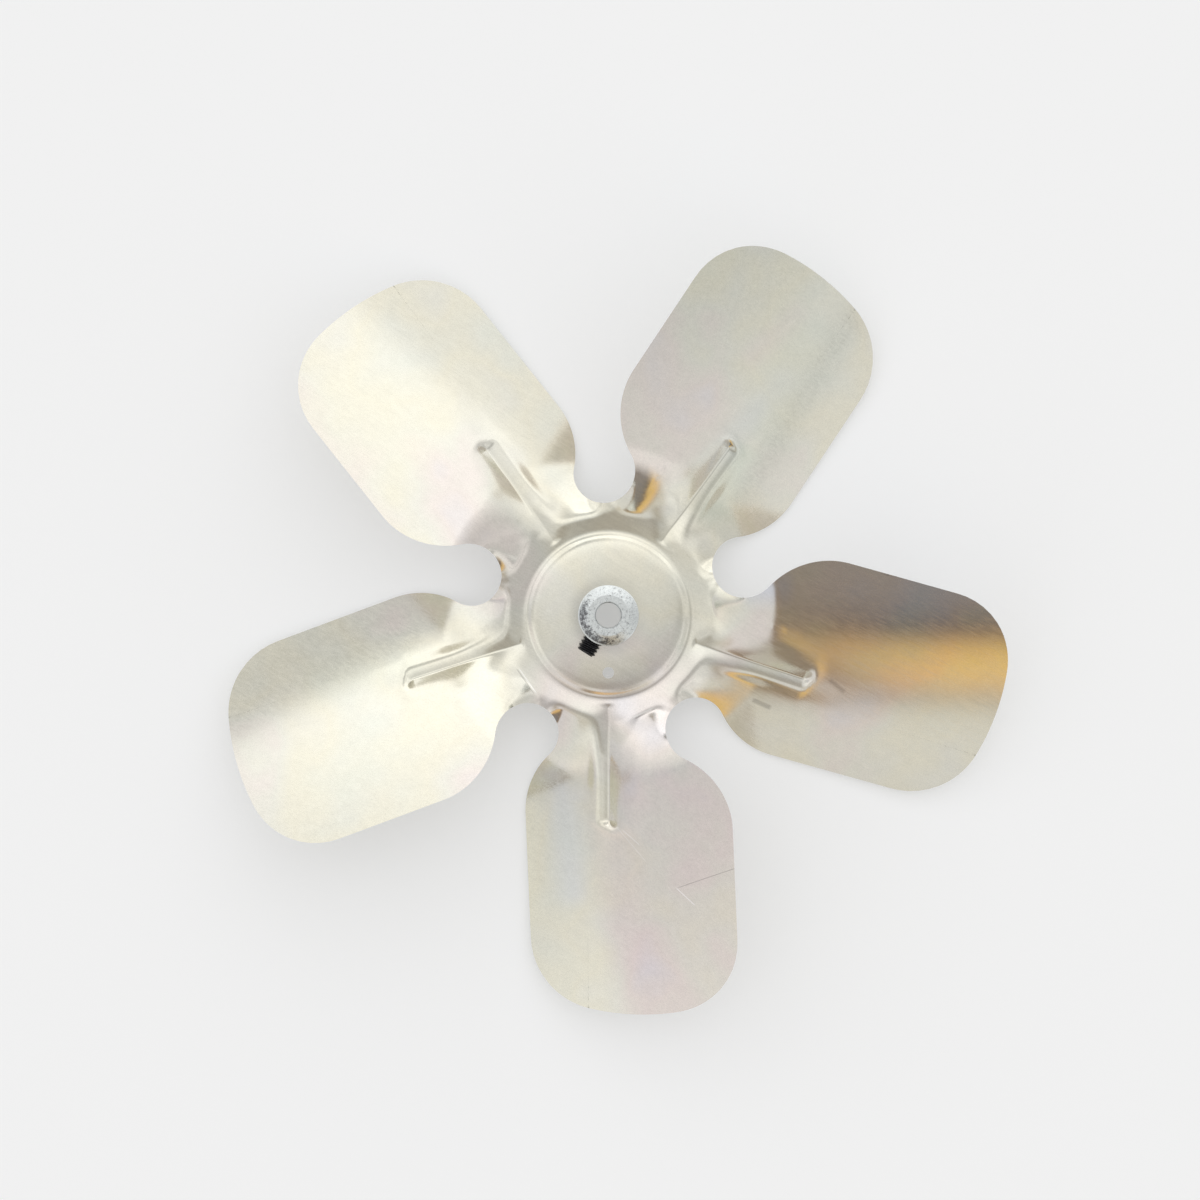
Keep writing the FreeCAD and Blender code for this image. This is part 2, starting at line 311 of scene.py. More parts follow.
class Graph:
    """A material's or the world's node tree, with short calls to add and join nodes."""

    def __init__(self, tree: NodeTree) -> None:
        """Empty the tree and keep it."""
        self.tree = tree
        tree.nodes.clear()

    def feed(self, node: Node, inputs: dict) -> None:
        """Set a node's inputs.

        Args:
            node: The node to feed.
            inputs: Socket name or number to a constant, or to the output socket that feeds it.
        """
        for name, value in inputs.items():
            if isinstance(value, Socket):
                self.tree.links.new(value, node.inputs[name])
            else:
                node.inputs[name].default_value = value

    def add(self, kind: str, inputs: dict | None = None, **settings: object) -> Node:
        """Add a node.

        Args:
            kind: The node's type, such as ShaderNodeMath.
            inputs: What feeds its inputs.
            settings: Properties of the node itself.

        Returns:
            The new node.
        """
        node = self.tree.nodes.new(kind)
        for name, value in settings.items():
            setattr(node, name, value)
        self.feed(node, inputs or {})
        return node

    def math(self, operation: str, *values: object) -> Socket:
        """Output of a Math node that is fed constants or output sockets, in order."""
        return self.add("ShaderNodeMath", dict(enumerate(values)), operation=operation).outputs[0]

    def place(self, output: str = "Object") -> Socket:
        """An output of a Texture Coordinate node."""
        return self.add("ShaderNodeTexCoord").outputs[output]

    def split(self, vector: Socket) -> tuple[Socket, ...]:
        """The x, y and z of a vector."""
        return tuple(self.add("ShaderNodeSeparateXYZ", {"Vector": vector}).outputs)

    def radius(self, x: Socket, y: Socket) -> Socket:
        """Distance of (x, y) from the shaft's axis."""
        return self.math("SQRT", self.math("ADD", self.math("MULTIPLY", x, x), self.math("MULTIPLY", y, y)))

    def leaning(self, x: Socket, y: Socket, azimuth: float) -> Socket:
        """How far (x, y) reaches towards an azimuth, which is in radians."""
        return self.math("MULTIPLY_ADD", x, math.cos(azimuth), self.math("MULTIPLY", y, math.sin(azimuth)))

    def change(self, value: Socket, start: float, end: float, low: float = 0.0, high: float = 1.0,
               curve: Curve = Curve.SMOOTH) -> Socket:
        """Value that is low up to a start limit and high from an end limit on, which may be the smaller one."""
        inputs = {"Value": value, "From Min": start, "From Max": end, "To Min": low, "To Max": high}
        return self.add("ShaderNodeMapRange", inputs, interpolation_type=curve.value).outputs[0]

    def ramp(self, factor: Socket, stops: Sequence[tuple]) -> Socket:
        """Add a Color Ramp node.

        Args:
            factor: The output socket that feeds it.
            stops: Pairs of a position and an RGB colour or a grey level.

        Returns:
            Its colour output socket.
        """
        node = self.add("ShaderNodeValToRGB", {"Fac": factor})
        elements = node.color_ramp.elements
        while len(elements) < len(stops):
            elements.new(1.0)
        for element, (position, colour) in zip(elements, stops):
            element.position = position
            element.color = rgba(colour)
        return node.outputs["Color"]

    def mix(self, factor: object, first: object, second: object, blend: Blend = Blend.COVER) -> Socket:
        """Lay a share of a second colour over a first: RGB tuples, grey levels or sockets."""
        inputs = {0: factor, 6: rgba(first), 7: rgba(second)}
        return self.add("ShaderNodeMix", inputs, data_type="RGBA", blend_type=blend.value).outputs[2]

    def noise(self, vector: Socket, scale: float, detail: float = 3.0, roughness: float = 0.5) -> Socket:
        """Noise pattern with a scale in waves per metre, octaves, and the share that each octave keeps."""
        inputs = {"Vector": vector, "Scale": scale, "Detail": detail, "Roughness": roughness}
        return self.add("ShaderNodeTexNoise", inputs).outputs[0]

    def bump(self, height: Socket, distance: float, strength: float) -> Socket:
        """Normal of a surface that a pattern raises by a distance in metres."""
        return self.add("ShaderNodeBump", {"Height": height, "Distance": distance, "Strength": strength}).outputs[0]


def new_material(name: str) -> tuple[Material, Graph, Node]:
    """Make a material with an empty graph, its Principled shader and its output.

    Args:
        name: The material's name.

    Returns:
        The material, its graph and its Principled node.
    """
    material = bpy.data.materials.new(name)
    material.use_nodes = True
    graph = Graph(material.node_tree)
    shader = graph.add("ShaderNodeBsdfPrincipled")
    graph.add("ShaderNodeOutputMaterial", {"Surface": shader.outputs[0]})
    return material, graph, shader


# Finishes


@dataclass(frozen=True)
class Mark:
    """A straight mark on the sheet, from start to end in millimetres of the plan.

    Along it, the strength is full up to full_share of its length from its middle, and fades to nothing at
    reach_share of its length and end_share of its width.
    """

    start: tuple
    end: tuple
    width: float
    strength: float
    full_share: float = 0.4
    reach_share: float = 0.52
    end_share: float = 0.4

    def mask(self, graph: Graph, x: Socket, y: Socket, core: float) -> Socket:
        """Draw the mark.

        Args:
            graph: The material's graph.
            x: The x of the shaded point.
            y: The y of the shaded point.
            core: Share of the width that has the full strength, with a soft border outside it.

        Returns:
            The mask's output socket, 0 away from the mark.
        """
        start, end = Vector(self.start) * MM, Vector(self.end) * MM
        width, length = self.width * MM, (end - start).length
        way = (end - start) / length
        from_x, from_y = graph.math("SUBTRACT", x, start.x), graph.math("SUBTRACT", y, start.y)
        along = graph.math("MULTIPLY_ADD", from_x, way.x, graph.math("MULTIPLY", from_y, way.y))
        across = graph.math("MULTIPLY_ADD", from_y, way.x, graph.math("MULTIPLY", from_x, -way.y))
        past = graph.math("ABSOLUTE", graph.math("SUBTRACT", along, length / 2))
        near = graph.change(graph.math("ABSOLUTE", across), core * width, width, self.strength, 0.0)
        reach = self.reach_share * length + self.end_share * width
        within = graph.change(past, self.full_share * length, reach, 1.0, 0.0)
        return graph.math("MULTIPLY", near, within)


@dataclass(frozen=True)
class Film:
    """A tint of the clear film, and the soft patches where it shows."""

    tint: tuple
    patches: tuple[Mark, ...]


def drawn(graph: Graph, place: Socket, marks: Sequence[Mark], core: float = 0.3) -> Socket:
    """Join marks to one mask.

    Args:
        graph: The material's graph.
        place: Object coordinates.
        marks: The marks to draw.
        core: Share of each mark's width that has the full strength.

    Returns:
        The mask's output socket, 0 away from every mark.
    """
    x, y, _ = graph.split(place)
    total, *others = [mark.mask(graph, x, y, core) for mark in marks]
    for other in others:
        total = graph.math("MAXIMUM", total, other)
    return total


@dataclass(frozen=True)
class PassivatedSheet:
    """Zinc-plated rolled sheet whose thin clear film shows straw, pink, lilac and green, with shop scratches and worn
    edges, and painted shade on the disc round the hub.

    A pattern has its waves per metre, its octaves and the share that each octave keeps. Pairs in a list
    of shades are a pattern's value and the shade or share there.
    """

    film: tuple = (
        (0.20, (0.70, 0.735, 0.665)), (0.34, (0.755, 0.75, 0.665)), (0.44, (0.785, 0.755, 0.635)),
        (0.52, (0.76, 0.745, 0.665)), (0.60, (0.775, 0.715, 0.665)), (0.68, (0.73, 0.705, 0.71)),
        (0.78, (0.68, 0.72, 0.745)))
    film_evenness: tuple = ((0.3, 0.35), (0.62, 1.0))
    clouds: tuple = (17.0, 3.0, 0.55)
    straw: Film = Film((0.84, 0.81, 0.66), (
        Mark((-26.0, -60.0), (-26.0, -98.0), 8.0, 1.0), Mark((-9.0, -17.0), (11.0, -16.0), 10.0, 0.6),
        Mark((-62.0, 50.0), (-88.0, 72.0), 26.0, 0.55), Mark((-48.0, -30.0), (-92.0, -56.0), 14.0, 0.6),
        Mark((-30.0, 58.0), (-50.0, 84.0), 9.0, 0.4)))
    moss: Film = Film((0.68, 0.72, 0.62), (
        Mark((32.0, 30.0), (44.0, 54.0), 10.0, 0.8), Mark((48.0, 56.0), (66.0, 92.0), 16.0, 0.5),
        Mark((-60.0, -14.0), (-96.0, -22.0), 12.0, 0.45)))
    rose: Film = Film((0.80, 0.70, 0.68), (
        Mark((2.0, -66.0), (8.0, -112.0), 11.0, 0.5), Mark((44.0, 80.0), (62.0, 98.0), 6.0, 0.45),
        Mark((-66.0, 26.0), (-84.0, 40.0), 8.0, 0.4)))
    lilac: Film = Film((0.66, 0.69, 0.77), (
        Mark((-15.5, -52.0), (-11.0, -92.0), 8.0, 0.75), Mark((-18.0, -50.0), (-12.0, -60.0), 9.0, 0.6),
        Mark((44.0, 9.0), (56.0, 9.0), 9.0, 0.8), Mark((31.0, 46.0), (58.0, 78.0), 7.0, 0.25)))

    rolling_angle: float = math.radians(-32.0)
    rolling_stretch: float = 22.0
    streaks: tuple = (1300.0, 2.0)
    streak_shades: tuple = ((0.30, 0.975), (0.60, 1.01))
    streak_limits: tuple = (0.3, 0.7)
    roughness_limits: tuple = (0.115, 0.165)
    grain: tuple = (2600.0, 2.0)
    grain_shades: tuple = ((0.32, 0.95), (0.66, 1.02))
    mottle: tuple = (330.0, 4.0, 0.65)
    mottle_shades: tuple = ((0.30, 0.975), (0.65, 1.02))
    grain_relief: float = 0.8
    streak_relief: float = 0.6
    relief_height: float = 0.005 * MM
    relief_strength: float = 0.5

    # Painted shade on the disc round the hub: its grey, its strength, the radii over which it fades out, the azimuth
    # where it is strongest and the weights of the two sides.
    hub_shade_colour: tuple = (0.36, 0.36, 0.35)
    hub_shade_strength: float = 0.45
    hub_shade_radii: tuple = (9.3 * MM, 14.0 * MM)
    hub_shade_towards: float = math.radians(188.0)
    hub_shade_sides: tuple = (0.38, 0.62)
    bright: tuple = (0.93, 0.92, 0.88)
    bright_scratches: tuple = (
        Mark((21.2, -85.6), (27.2, -90.9), 0.25, 0.8), Mark((4.5, -68.2), (10.1, -72.9), 0.2, 0.5),
        Mark((7.8, -32.6), (14.5, -29.4), 0.25, 0.7), Mark((-28.5, -16.9), (-22.8, -24.9), 0.25, 0.7),
        Mark((1.5, -66.0), (12.0, -78.0), 0.16, 0.4))
    dark: tuple = (0.16, 0.15, 0.14)
    dark_scratches: tuple = (
        Mark((21.2, -85.9), (40.2, -78.0), 0.18, 0.38), Mark((46.3, -27.1), (52.0, -29.7), 1.1, 0.35),
        Mark((70.4, -20.5), (75.2, -24.4), 1.0, 0.25), Mark((8.3, -33.0), (15.0, -29.8), 0.3, 0.35),
        Mark((-29.2, -17.0), (-23.6, -25.0), 0.3, 0.3))
    worn: tuple = (0.10, 0.095, 0.10)
    worn_edges: tuple = (Mark((41.2, -79.5), (41.8, -106.0), 1.5, 0.85), Mark((84.7, 13.4), (108.5, 9.3), 0.9, 0.5))
    speckle: tuple = (1100.0, 3.0, 0.7)
    speckle_shades: tuple = ((0.50, 0.0), (0.58, 1.0))

    def painted_shade_round_hub(self, graph: Graph, place: Socket) -> Socket:
        """Share of painted shade on the disc round the staked hub, strongest on one side.

        Args:
            graph: The material's graph.
            place: Object coordinates.

        Returns:
            The share's output socket.
        """
        x, y, _ = graph.split(place)
        radius = graph.radius(x, y)
        towards_hub_shade = graph.math("DIVIDE", graph.leaning(x, y, self.hub_shade_towards), radius)
        side = graph.math("MULTIPLY_ADD", towards_hub_shade, *self.hub_shade_sides)
        return graph.math("MULTIPLY", graph.change(radius, *self.hub_shade_radii, self.hub_shade_strength, 0.0), side)

    def build(self) -> Material:
        """Build the material.

        Returns:
            The sheet's finish.
        """
        material, graph, shader = new_material(Coat.SHEET.value)
        place = graph.place()
        clouds = graph.noise(place, *self.clouds)
        colour = graph.ramp(clouds, self.film)
        evenness = graph.ramp(clouds, self.film_evenness)
        for film in (self.straw, self.moss, self.rose, self.lilac):
            share = graph.math("MULTIPLY", drawn(graph, place, film.patches, 0.0), evenness)
            colour = graph.mix(share, colour, film.tint)
        rolled = graph.add("ShaderNodeMapping", {
            "Vector": place, "Rotation": (0.0, 0.0, self.rolling_angle),
            "Scale": (self.rolling_stretch, 1.0, 1.0)}, vector_type="TEXTURE").outputs[0]
        streaks = graph.noise(rolled, *self.streaks)
        grain = graph.noise(place, *self.grain)
        mottle = graph.noise(place, *self.mottle)
        for pattern, shades in ((grain, self.grain_shades), (streaks, self.streak_shades),
                                (mottle, self.mottle_shades)):
            colour = graph.mix(1.0, colour, graph.ramp(pattern, shades), Blend.TINT)
        # Painted shade: the disc darkens round the hub, most towards one side.
        colour = graph.mix(self.painted_shade_round_hub(graph, place), colour, self.hub_shade_colour)
        front = graph.math("GREATER_THAN", graph.split(graph.place("Normal"))[2], 0.0)
        speckle = graph.ramp(graph.noise(place, *self.speckle), self.speckle_shades)
        for marks, limit, tint in ((self.bright_scratches, front, self.bright),
                                   (self.dark_scratches, front, self.dark), (self.worn_edges, speckle, self.worn)):
            colour = graph.mix(graph.math("MULTIPLY", drawn(graph, place, marks), limit), colour, tint)
        roughness = graph.change(streaks, *self.streak_limits, *self.roughness_limits, Curve.STRAIGHT)
        relief = graph.math("MULTIPLY_ADD", grain, self.grain_relief,
                            graph.math("MULTIPLY", streaks, self.streak_relief))
        graph.feed(shader, {"Base Color": colour, "Metallic": 1.0, "Roughness": roughness,
                            "Normal": graph.bump(relief, self.relief_height, self.relief_strength)})
        return material


@dataclass(frozen=True)
class PlatedHub:
    """Bright zinc plating on turned steel, dented all over by tumbling, with dark worn spots and a painted shade that
    darkens the end bevel on one side.
    """

    zinc: tuple = (0.56, 0.59, 0.59)
    pale: tuple = (0.80, 0.83, 0.82)
    pale_spots: tuple = ((0.40, 0.0), (0.55, 1.0))
    # Dark colour of the worn spots, and of the painted shade on one side of the end bevel.
    worn: tuple = (0.10, 0.10, 0.105)
    worn_and_shaded_spots: tuple = ((0.545, 0.0), (0.60, 0.92))
    roughness: float = 0.32
    dents: tuple = (3000.0, 4.0, 0.8)
    dent_depth: float = 0.07 * MM
    dent_strength: float = 0.7
    dent_share: float = 0.6
    blotches: tuple = (1000.0, 3.0, 0.65)
    # Painted shade: the end bevel darkens towards this azimuth, over this lean and between these radii, and this
    # weight adds it to the dent spots; it stops at the rim.
    shade_towards: float = math.radians(214.0)
    shaded_side: tuple = (0.0, 0.75)
    shaded_radii: tuple = (5.6 * MM, 8.0 * MM)
    bevel_shade: float = 0.105
    clean_rim: tuple = (9.0 * MM, 9.2 * MM)

    def build(self) -> Material:
        """Build the material.

        Returns:
            The hub's finish.
        """
        material, graph, shader = new_material(Coat.HUB.value)
        place = graph.place()
        x, y, _ = graph.split(place)
        radius = graph.radius(x, y)
        # Painted shade on the side of the end bevel that faces the shade azimuth.
        towards_shade = graph.math("DIVIDE", graph.leaning(x, y, self.shade_towards), radius)
        bevel_shade = graph.math("MULTIPLY", graph.change(towards_shade, *self.shaded_side),
                          graph.change(radius, *self.shaded_radii))
        off_rim = graph.change(radius, *self.clean_rim, 1.0, 0.0, Curve.STRAIGHT)
        dents = graph.noise(place, *self.dents)
        blotches = graph.math("MULTIPLY", graph.noise(place, *self.blotches), 1.0 - self.dent_share)
        spots = graph.math("MULTIPLY_ADD", dents, self.dent_share, blotches)
        reached = graph.math("MULTIPLY_ADD", bevel_shade, self.bevel_shade, spots)
        # Worn spots, with more of them on one side of the bevel as painted shade, kept off the rim.
        worn = graph.math("MULTIPLY", graph.ramp(reached, self.worn_and_shaded_spots), off_rim)
        colour = graph.mix(graph.ramp(dents, self.pale_spots), self.zinc, self.pale)
        graph.feed(shader, {
            "Base Color": graph.mix(worn, colour, self.worn), "Metallic": 1.0, "Roughness": self.roughness,
            "Normal": graph.bump(dents, self.dent_depth, self.dent_strength)})
        return material


@dataclass(frozen=True)
class BlackOxide:
    """Black oxide on the set screw, slightly oily."""

    oxide: tuple = (0.012, 0.012, 0.014)
    rubbed: tuple = (0.06, 0.06, 0.065)
    spots: tuple = (1500.0, 3.0)
    rubbed_spots: tuple = ((0.5, 0.0), (0.7, 1.0))
    metallic: float = 0.6
    roughness: float = 0.38

    def build(self) -> Material:
        """Build the material.

        Returns:
            The screw's finish.
        """
        material, graph, shader = new_material(Coat.SCREW.value)
        spots = graph.ramp(graph.noise(graph.place(), *self.spots), self.rubbed_spots)
        graph.feed(shader, {"Base Color": graph.mix(spots, self.oxide, self.rubbed),
                            "Metallic": self.metallic, "Roughness": self.roughness})
        return material


# Outline paths in the blade frame


def held(share: float) -> float:
    """A share kept from 0 to 1."""
    return min(max(share, 0.0), 1.0)


def eased(share: float) -> float:
    """Smooth step from 0 to 1 as a share goes from 0 to 1."""
    return held(share) ** 2 * (3 - 2 * held(share))


def between(pair: Sequence[float], share: float) -> float:
    """Value at a share of the way from the first of a pair to the second."""
    return pair[0] + share * (pair[1] - pair[0])


def rotated(x: float, y: float, angle: float) -> Vector:
    """Point of the plan, turned about the origin."""
    cos, sin = math.cos(angle), math.sin(angle)
    return Vector((x * cos - y * sin, x * sin + y * cos))


def graded(start: float, end: float, count: int, growth: float) -> list[float]:
    """Values from start to end whose steps grow evenly.

    Args:
        start: First value.
        end: Last value.
        count: Number of steps.
        growth: Length of the last step over the first.

    Returns:
        The values after the start, up to the end.
    """
    steps = [1.0 + (growth - 1.0) * i / max(count - 1, 1) for i in range(count)]
    return [start + (end - start) * sum(steps[:i + 1]) / sum(steps) for i in range(count)]


@dataclass(frozen=True)
class Stretch:
    """An arc about a centre, or a straight line where there is no centre."""

    start: Vector
    end: Vector
    centre: Vector | None = None

    @property
    def sweep(self) -> float:
        """Angle from start to end about the centre, the short way."""
        before, after = self.start - self.centre, self.end - self.centre
        return math.atan2(before.x * after.y - before.y * after.x, before.dot(after))

    @property
    def length(self) -> float:
        """Measure along the stretch.

        Returns:
            Its length.
        """
        if self.centre is None:
            return (self.end - self.start).length
        return abs(self.sweep) * (self.start - self.centre).length

    def point(self, share: float) -> Vector:
        """Find a point of the stretch.

        Args:
            share: Share of the stretch's length, from its start.

        Returns:
            The point.
        """
        if self.centre is None:
            return self.start.lerp(self.end, share)
        spoke = self.start - self.centre
        spoke.rotate(Matrix.Rotation(self.sweep * share, 2))
        return self.centre + spoke


@dataclass(frozen=True)
class Path:
    """Stretches that follow one another."""

    stretches: tuple[Stretch, ...]

    def point(self, share: float) -> Vector:
        """Find a point of the path.

        Args:
            share: Share of the whole path's length, from its start.

        Returns:
            The point.
        """
        left = share * sum(stretch.length for stretch in self.stretches)
        *others, last = self.stretches
        for stretch in others:
            if left <= stretch.length:
                return stretch.point(left / stretch.length)
            left -= stretch.length
        return last.point(min(left / last.length, 1.0))


@dataclass(frozen=True)
class Column:
    """Column of vertices in the blank: its measure is u in the middle band, and a share of its zone elsewhere."""

    zone: Zone
    measure: float
    side: Side | None = None


# Pressed sheet


@dataclass
class BladeSpider:
    """Pressed sheet spider: centre dish, pitched blades, stiffening grooves and root notches.

    Pairs of sizes are for the high and the low side of a blade, the start and the end of a groove, or
    the limits between which a shape changes. A blade's frame has its rib along the second axis, and its
    high side at negative u. Rows and columns of the mesh have a count and the growth of their steps, and
    those of the dish also their outer radius.
    """

    node: str = "blade_spider"
    blade_count: int = 5
    first_blade_angle: float = math.radians(270.0)
    gauge: float = SHEET_GAUGE
    edge_rounding: float = 0.14 * MM
    rounded_angle: float = math.radians(60.0)

    hub_hole_radius: float = 7.0 * MM
    dish_slopes: tuple = (
        (0.0, 0.0), (9.6, 0.0), (16.0, 1.4), (20.0, 2.6), (21.2, 3.2), (22.2, 5.5), (23.2, 10.0), (23.7, 14.0),
        (24.2, 20.0), (24.7, 26.0), (25.2, 27.0), (25.7, 22.0), (26.2, 11.0), (26.7, 0.0), (28.2, -11.0),
        (31.35, -11.0), (33.6, 0.0))
    dish_step: float = 0.05 * MM
    valley_radius: float = 26.7 * MM
    crest_radius: float = 33.6 * MM
    ring_outer_radius: float = 36.6 * MM
    index_hole_radius: float = 1.85 * MM
    index_hole_pitch_radius: float = 18.3 * MM
    index_hole_sides: int = 48

    swept_radius: float = 126.985 * MM
    lean: float = math.radians(2.5)
    edge_offsets: tuple = (35.6 * MM, 29.4 * MM)
    tip_arc_radius: float = 69.0 * MM
    tip_arc_angle: float = math.radians(6.4)
    corner_radii: tuple = (23.5 * MM, 23.0 * MM)
    root_radii: tuple = (24.2 * MM, 25.0 * MM)
    notch_radius: float = 9.8 * MM
    notch_centre_radius: float = 45.6 * MM
    notch_shift: float = math.radians(1.7)

    pitch: float = math.radians(24.9)
    camber_radius: float = 238.0 * MM
    washout_per_metre: float = 3.2
    washout_start: float = 86.0 * MM
    fold_length: float = 21.0 * MM
    twist_length: float = 51.0 * MM
    blend_power: float = 1.8
    fold_share_at_rib: float = 0.3
    fold_half_widths: tuple = (9.0 * MM, 7.0 * MM)
    crease_radii: tuple = (32.8 * MM, 32.3 * MM)
    crease_softness: tuple = (1.25 * MM, 1.75 * MM)
    crease_change: float = 8.0 * MM
    web_angles: tuple = (math.radians(16.0), math.radians(10.0))
    web_radii: tuple = (40.0 * MM, 46.0 * MM)

    groove_ends: tuple = (29.0 * MM, 66.0 * MM)
    groove_depths: tuple = (0.92 * MM, 1.2 * MM)
    groove_end_slopes: tuple = (1.0, 0.85)
    groove_high_widths: tuple = (4.1 * MM, 2.75 * MM)
    groove_low_widths: tuple = (3.3 * MM, 3.0 * MM)
    groove_bottom_softness: float = 0.16 * MM
    groove_edge_softness: float = 1.4 * MM
    groove_clearance: float = 8.0 * MM
    lip_height: float = 0.24 * MM
    lip_reach: float = 3.1 * MM
    lip_fade: float = 9.0 * MM

    dish_rows: tuple = ((20.6 * MM, 8, 0.7), (27.3 * MM, 18, 0.6), (33.6 * MM, 13, 1.0))
    ring_rows: int = 5
    groove_rows: tuple = (40, 1.2)
    groove_rows_past: float = 3.0 * MM
    outer_rows: tuple = (26, 3.0)
    band_half_width: float = 6.5 * MM
    band_columns: int = 32
    flank_columns: tuple = (20, 2.6)
    notch_columns: int = 5
    weld_distance: float = 0.01 * MM
    slope_step: float = 0.2 * MM

    def __post_init__(self) -> None:
        """Add up the dish's slopes to its heights, and work out the centre of the camber arc, once."""
        self.dish_heights = [0.0]
        radius = self.dish_step / 2
        while radius < self.ring_outer_radius:
            drop = math.tan(math.radians(self.dish_slope(radius / MM))) * self.dish_step
            self.dish_heights.append(self.dish_heights[-1] - drop)
            radius += self.dish_step
        self.crest_height = self.dish_heights[-1]
        self.camber_u = self.camber_radius * math.sin(self.pitch)
        self.camber_z = self.camber_radius * math.cos(self.pitch)

    @property
    def step(self) -> float:
        """Angle from one blade to the next."""
        return math.tau / self.blade_count

    @property
    def first_turn(self) -> float:
        """Turn that brings the blade frame to the first blade."""
        return self.first_blade_angle - math.pi / 2

    def notch_angle(self, side: Side) -> float:
        """Angle from the rib to the notch on one side."""
        return self.step / 2 + self.notch_shift - side.value * self.step

    def polar(self, radius: float, angle: float) -> Vector:
        """Point in the blade frame at an angle from the rib, towards the high edge."""
        return rotated(0.0, radius, angle)

    # Heights

    def dish_slope(self, radius: float) -> float:
        """Look up the slope of the dish.

        Args:
            radius: Distance from the axis, in millimetres.

        Returns:
            The downward slope, in degrees.
        """
        for (inner, before), (outer, after) in zip(self.dish_slopes, self.dish_slopes[1:]):
            if radius <= outer:
                return between((before, after), (radius - inner) / (outer - inner))
        return 0.0

    def dish_height(self, radius: float) -> float:
        """Look up the height of the dish's hub side.

        Args:
            radius: Distance from the axis.

        Returns:
            The height, which is 0 on the flat disc.
        """
        place = radius / self.dish_step
        inner = min(int(place), len(self.dish_heights) - 2)
        return between(self.dish_heights[inner:inner + 2], min(place - inner, 1.0))

    def chord_height(self, u: float) -> float:
        """Height of the cambered chord at u, which passes the rib line at the pitch angle."""
        return self.camber_z - math.sqrt(self.camber_radius ** 2 - (u - self.camber_u) ** 2)

    def lift(self, u: float, v: float) -> float:
        """Height of the pitched blade above the ring's crest, evened out in the web between two blades.

        Args:
            u: Distance off the rib, in the blade frame.
            v: Distance outwards, in the blade frame.

        Returns:
            The height.
        """
        radius = math.hypot(u, v)
        low_share = held(0.5 + u / self.crease_change)
        past = radius - between(self.crease_radii, low_share)
        softness = between(self.crease_softness, low_share)
        if abs(past) < softness:
            past = (past + softness) ** 2 / (4 * softness)
        past = max(past, 0.0)
        twisted, folded = (1 - (1 - min(past / length, 1.0)) ** self.blend_power
                           for length in (self.twist_length, self.fold_length))
        fold_share = between((self.fold_share_at_rib, 1.0), eased(abs(u) / self.fold_half_widths[u > 0]))
        reach = between((twisted, folded), fold_share)
        washout = 1 - self.washout_per_metre * (v - self.washout_start)
        angle = math.atan2(-u, v)
        off_web = min(abs(angle - self.notch_angle(side)) / self.web_angles[side.value] for side in Side)
        inner, outer = self.web_radii
        raised = between((eased(off_web), 1.0), eased((radius - inner) / (outer - inner)))
        return raised * reach * washout * self.chord_height(u)

    def groove_height(self, u: float, v: float) -> float:
        """Height of the groove's walls at a point, carried on past its edges and its ends.

        Args:
            u: Distance off the rib, in the blade frame.
            v: Distance outwards, in the blade frame.

        Returns:
            The height.
        """
        start, end = self.groove_ends
        share = held((v - start) / (end - start))
        bottom = self.crest_height - between(self.groove_depths, share)
        width = between(self.groove_high_widths if u < 0 else self.groove_low_widths, share)
        edge = math.copysign(width, u)
        slope = (self.crest_height + self.lift(edge, max(v, self.crest_radius)) - bottom) / width
        across = math.hypot(u, self.groove_bottom_softness) - self.groove_bottom_softness
        at_start, at_end = self.groove_end_slopes
        along = max(v - end, 0.0) * at_end + max(start - v, 0.0) * at_start
        return bottom + math.hypot(across * max(slope, 0.0), along)

    def blade_frame(self, x: float, y: float) -> tuple[float, float]:
        """Turn a point into the frame of the blade whose sector it lies in.

        Args:
            x: First coordinate in the plan.
            y: Second coordinate in the plan.

        Returns:
            The point's u and v.
        """
        sector = round((math.atan2(y, x) - self.first_blade_angle - self.notch_shift) / self.step)
        turn = self.first_turn + sector * self.step
        return x * math.cos(turn) + y * math.sin(turn), y * math.cos(turn) - x * math.sin(turn)

    def front_height(self, x: float, y: float) -> float:
        """Height of the sheet's hub side.

        Args:
            x: First coordinate in the plan.
            y: Second coordinate in the plan.

        Returns:
            The height, with the groove's softened and slightly raised lips.
        """
        u, v = self.blade_frame(x, y)
        plain = self.dish_height(math.hypot(u, v)) + self.lift(u, v)
        groove_reach = self.groove_ends[1] + self.groove_clearance
        if abs(u) > 2 * self.band_half_width or not self.valley_radius <= v <= groove_reach:
            return plain
        groove = self.groove_height(u, v)
        raised = max(1 - max(groove - plain, 0.0) / self.lip_reach, 0.0) ** 2
        plain += self.lip_height * raised * eased((v - self.crest_radius) / self.lip_fade)
        near = max(1 - abs(plain - groove) / self.groove_edge_softness, 0.0)
        return min(plain, groove) - near ** 3 * self.groove_edge_softness / 6

    def back_height(self, x: float, y: float) -> float:
        """Find the height of the sheet's back, one gauge below the hub side, measured square to it.

        Args:
            x: First coordinate in the plan.
            y: Second coordinate in the plan.

        Returns:
            The height.
        """
        slopes = [(self.front_height(x + dx, y + dy) - self.front_height(x - dx, y - dy)) / (2 * self.slope_step)
                  for dx, dy in ((self.slope_step, 0.0), (0.0, self.slope_step))]
        return self.front_height(x, y) - self.gauge * math.hypot(1.0, *slopes)

    # Plan of one blade's sector

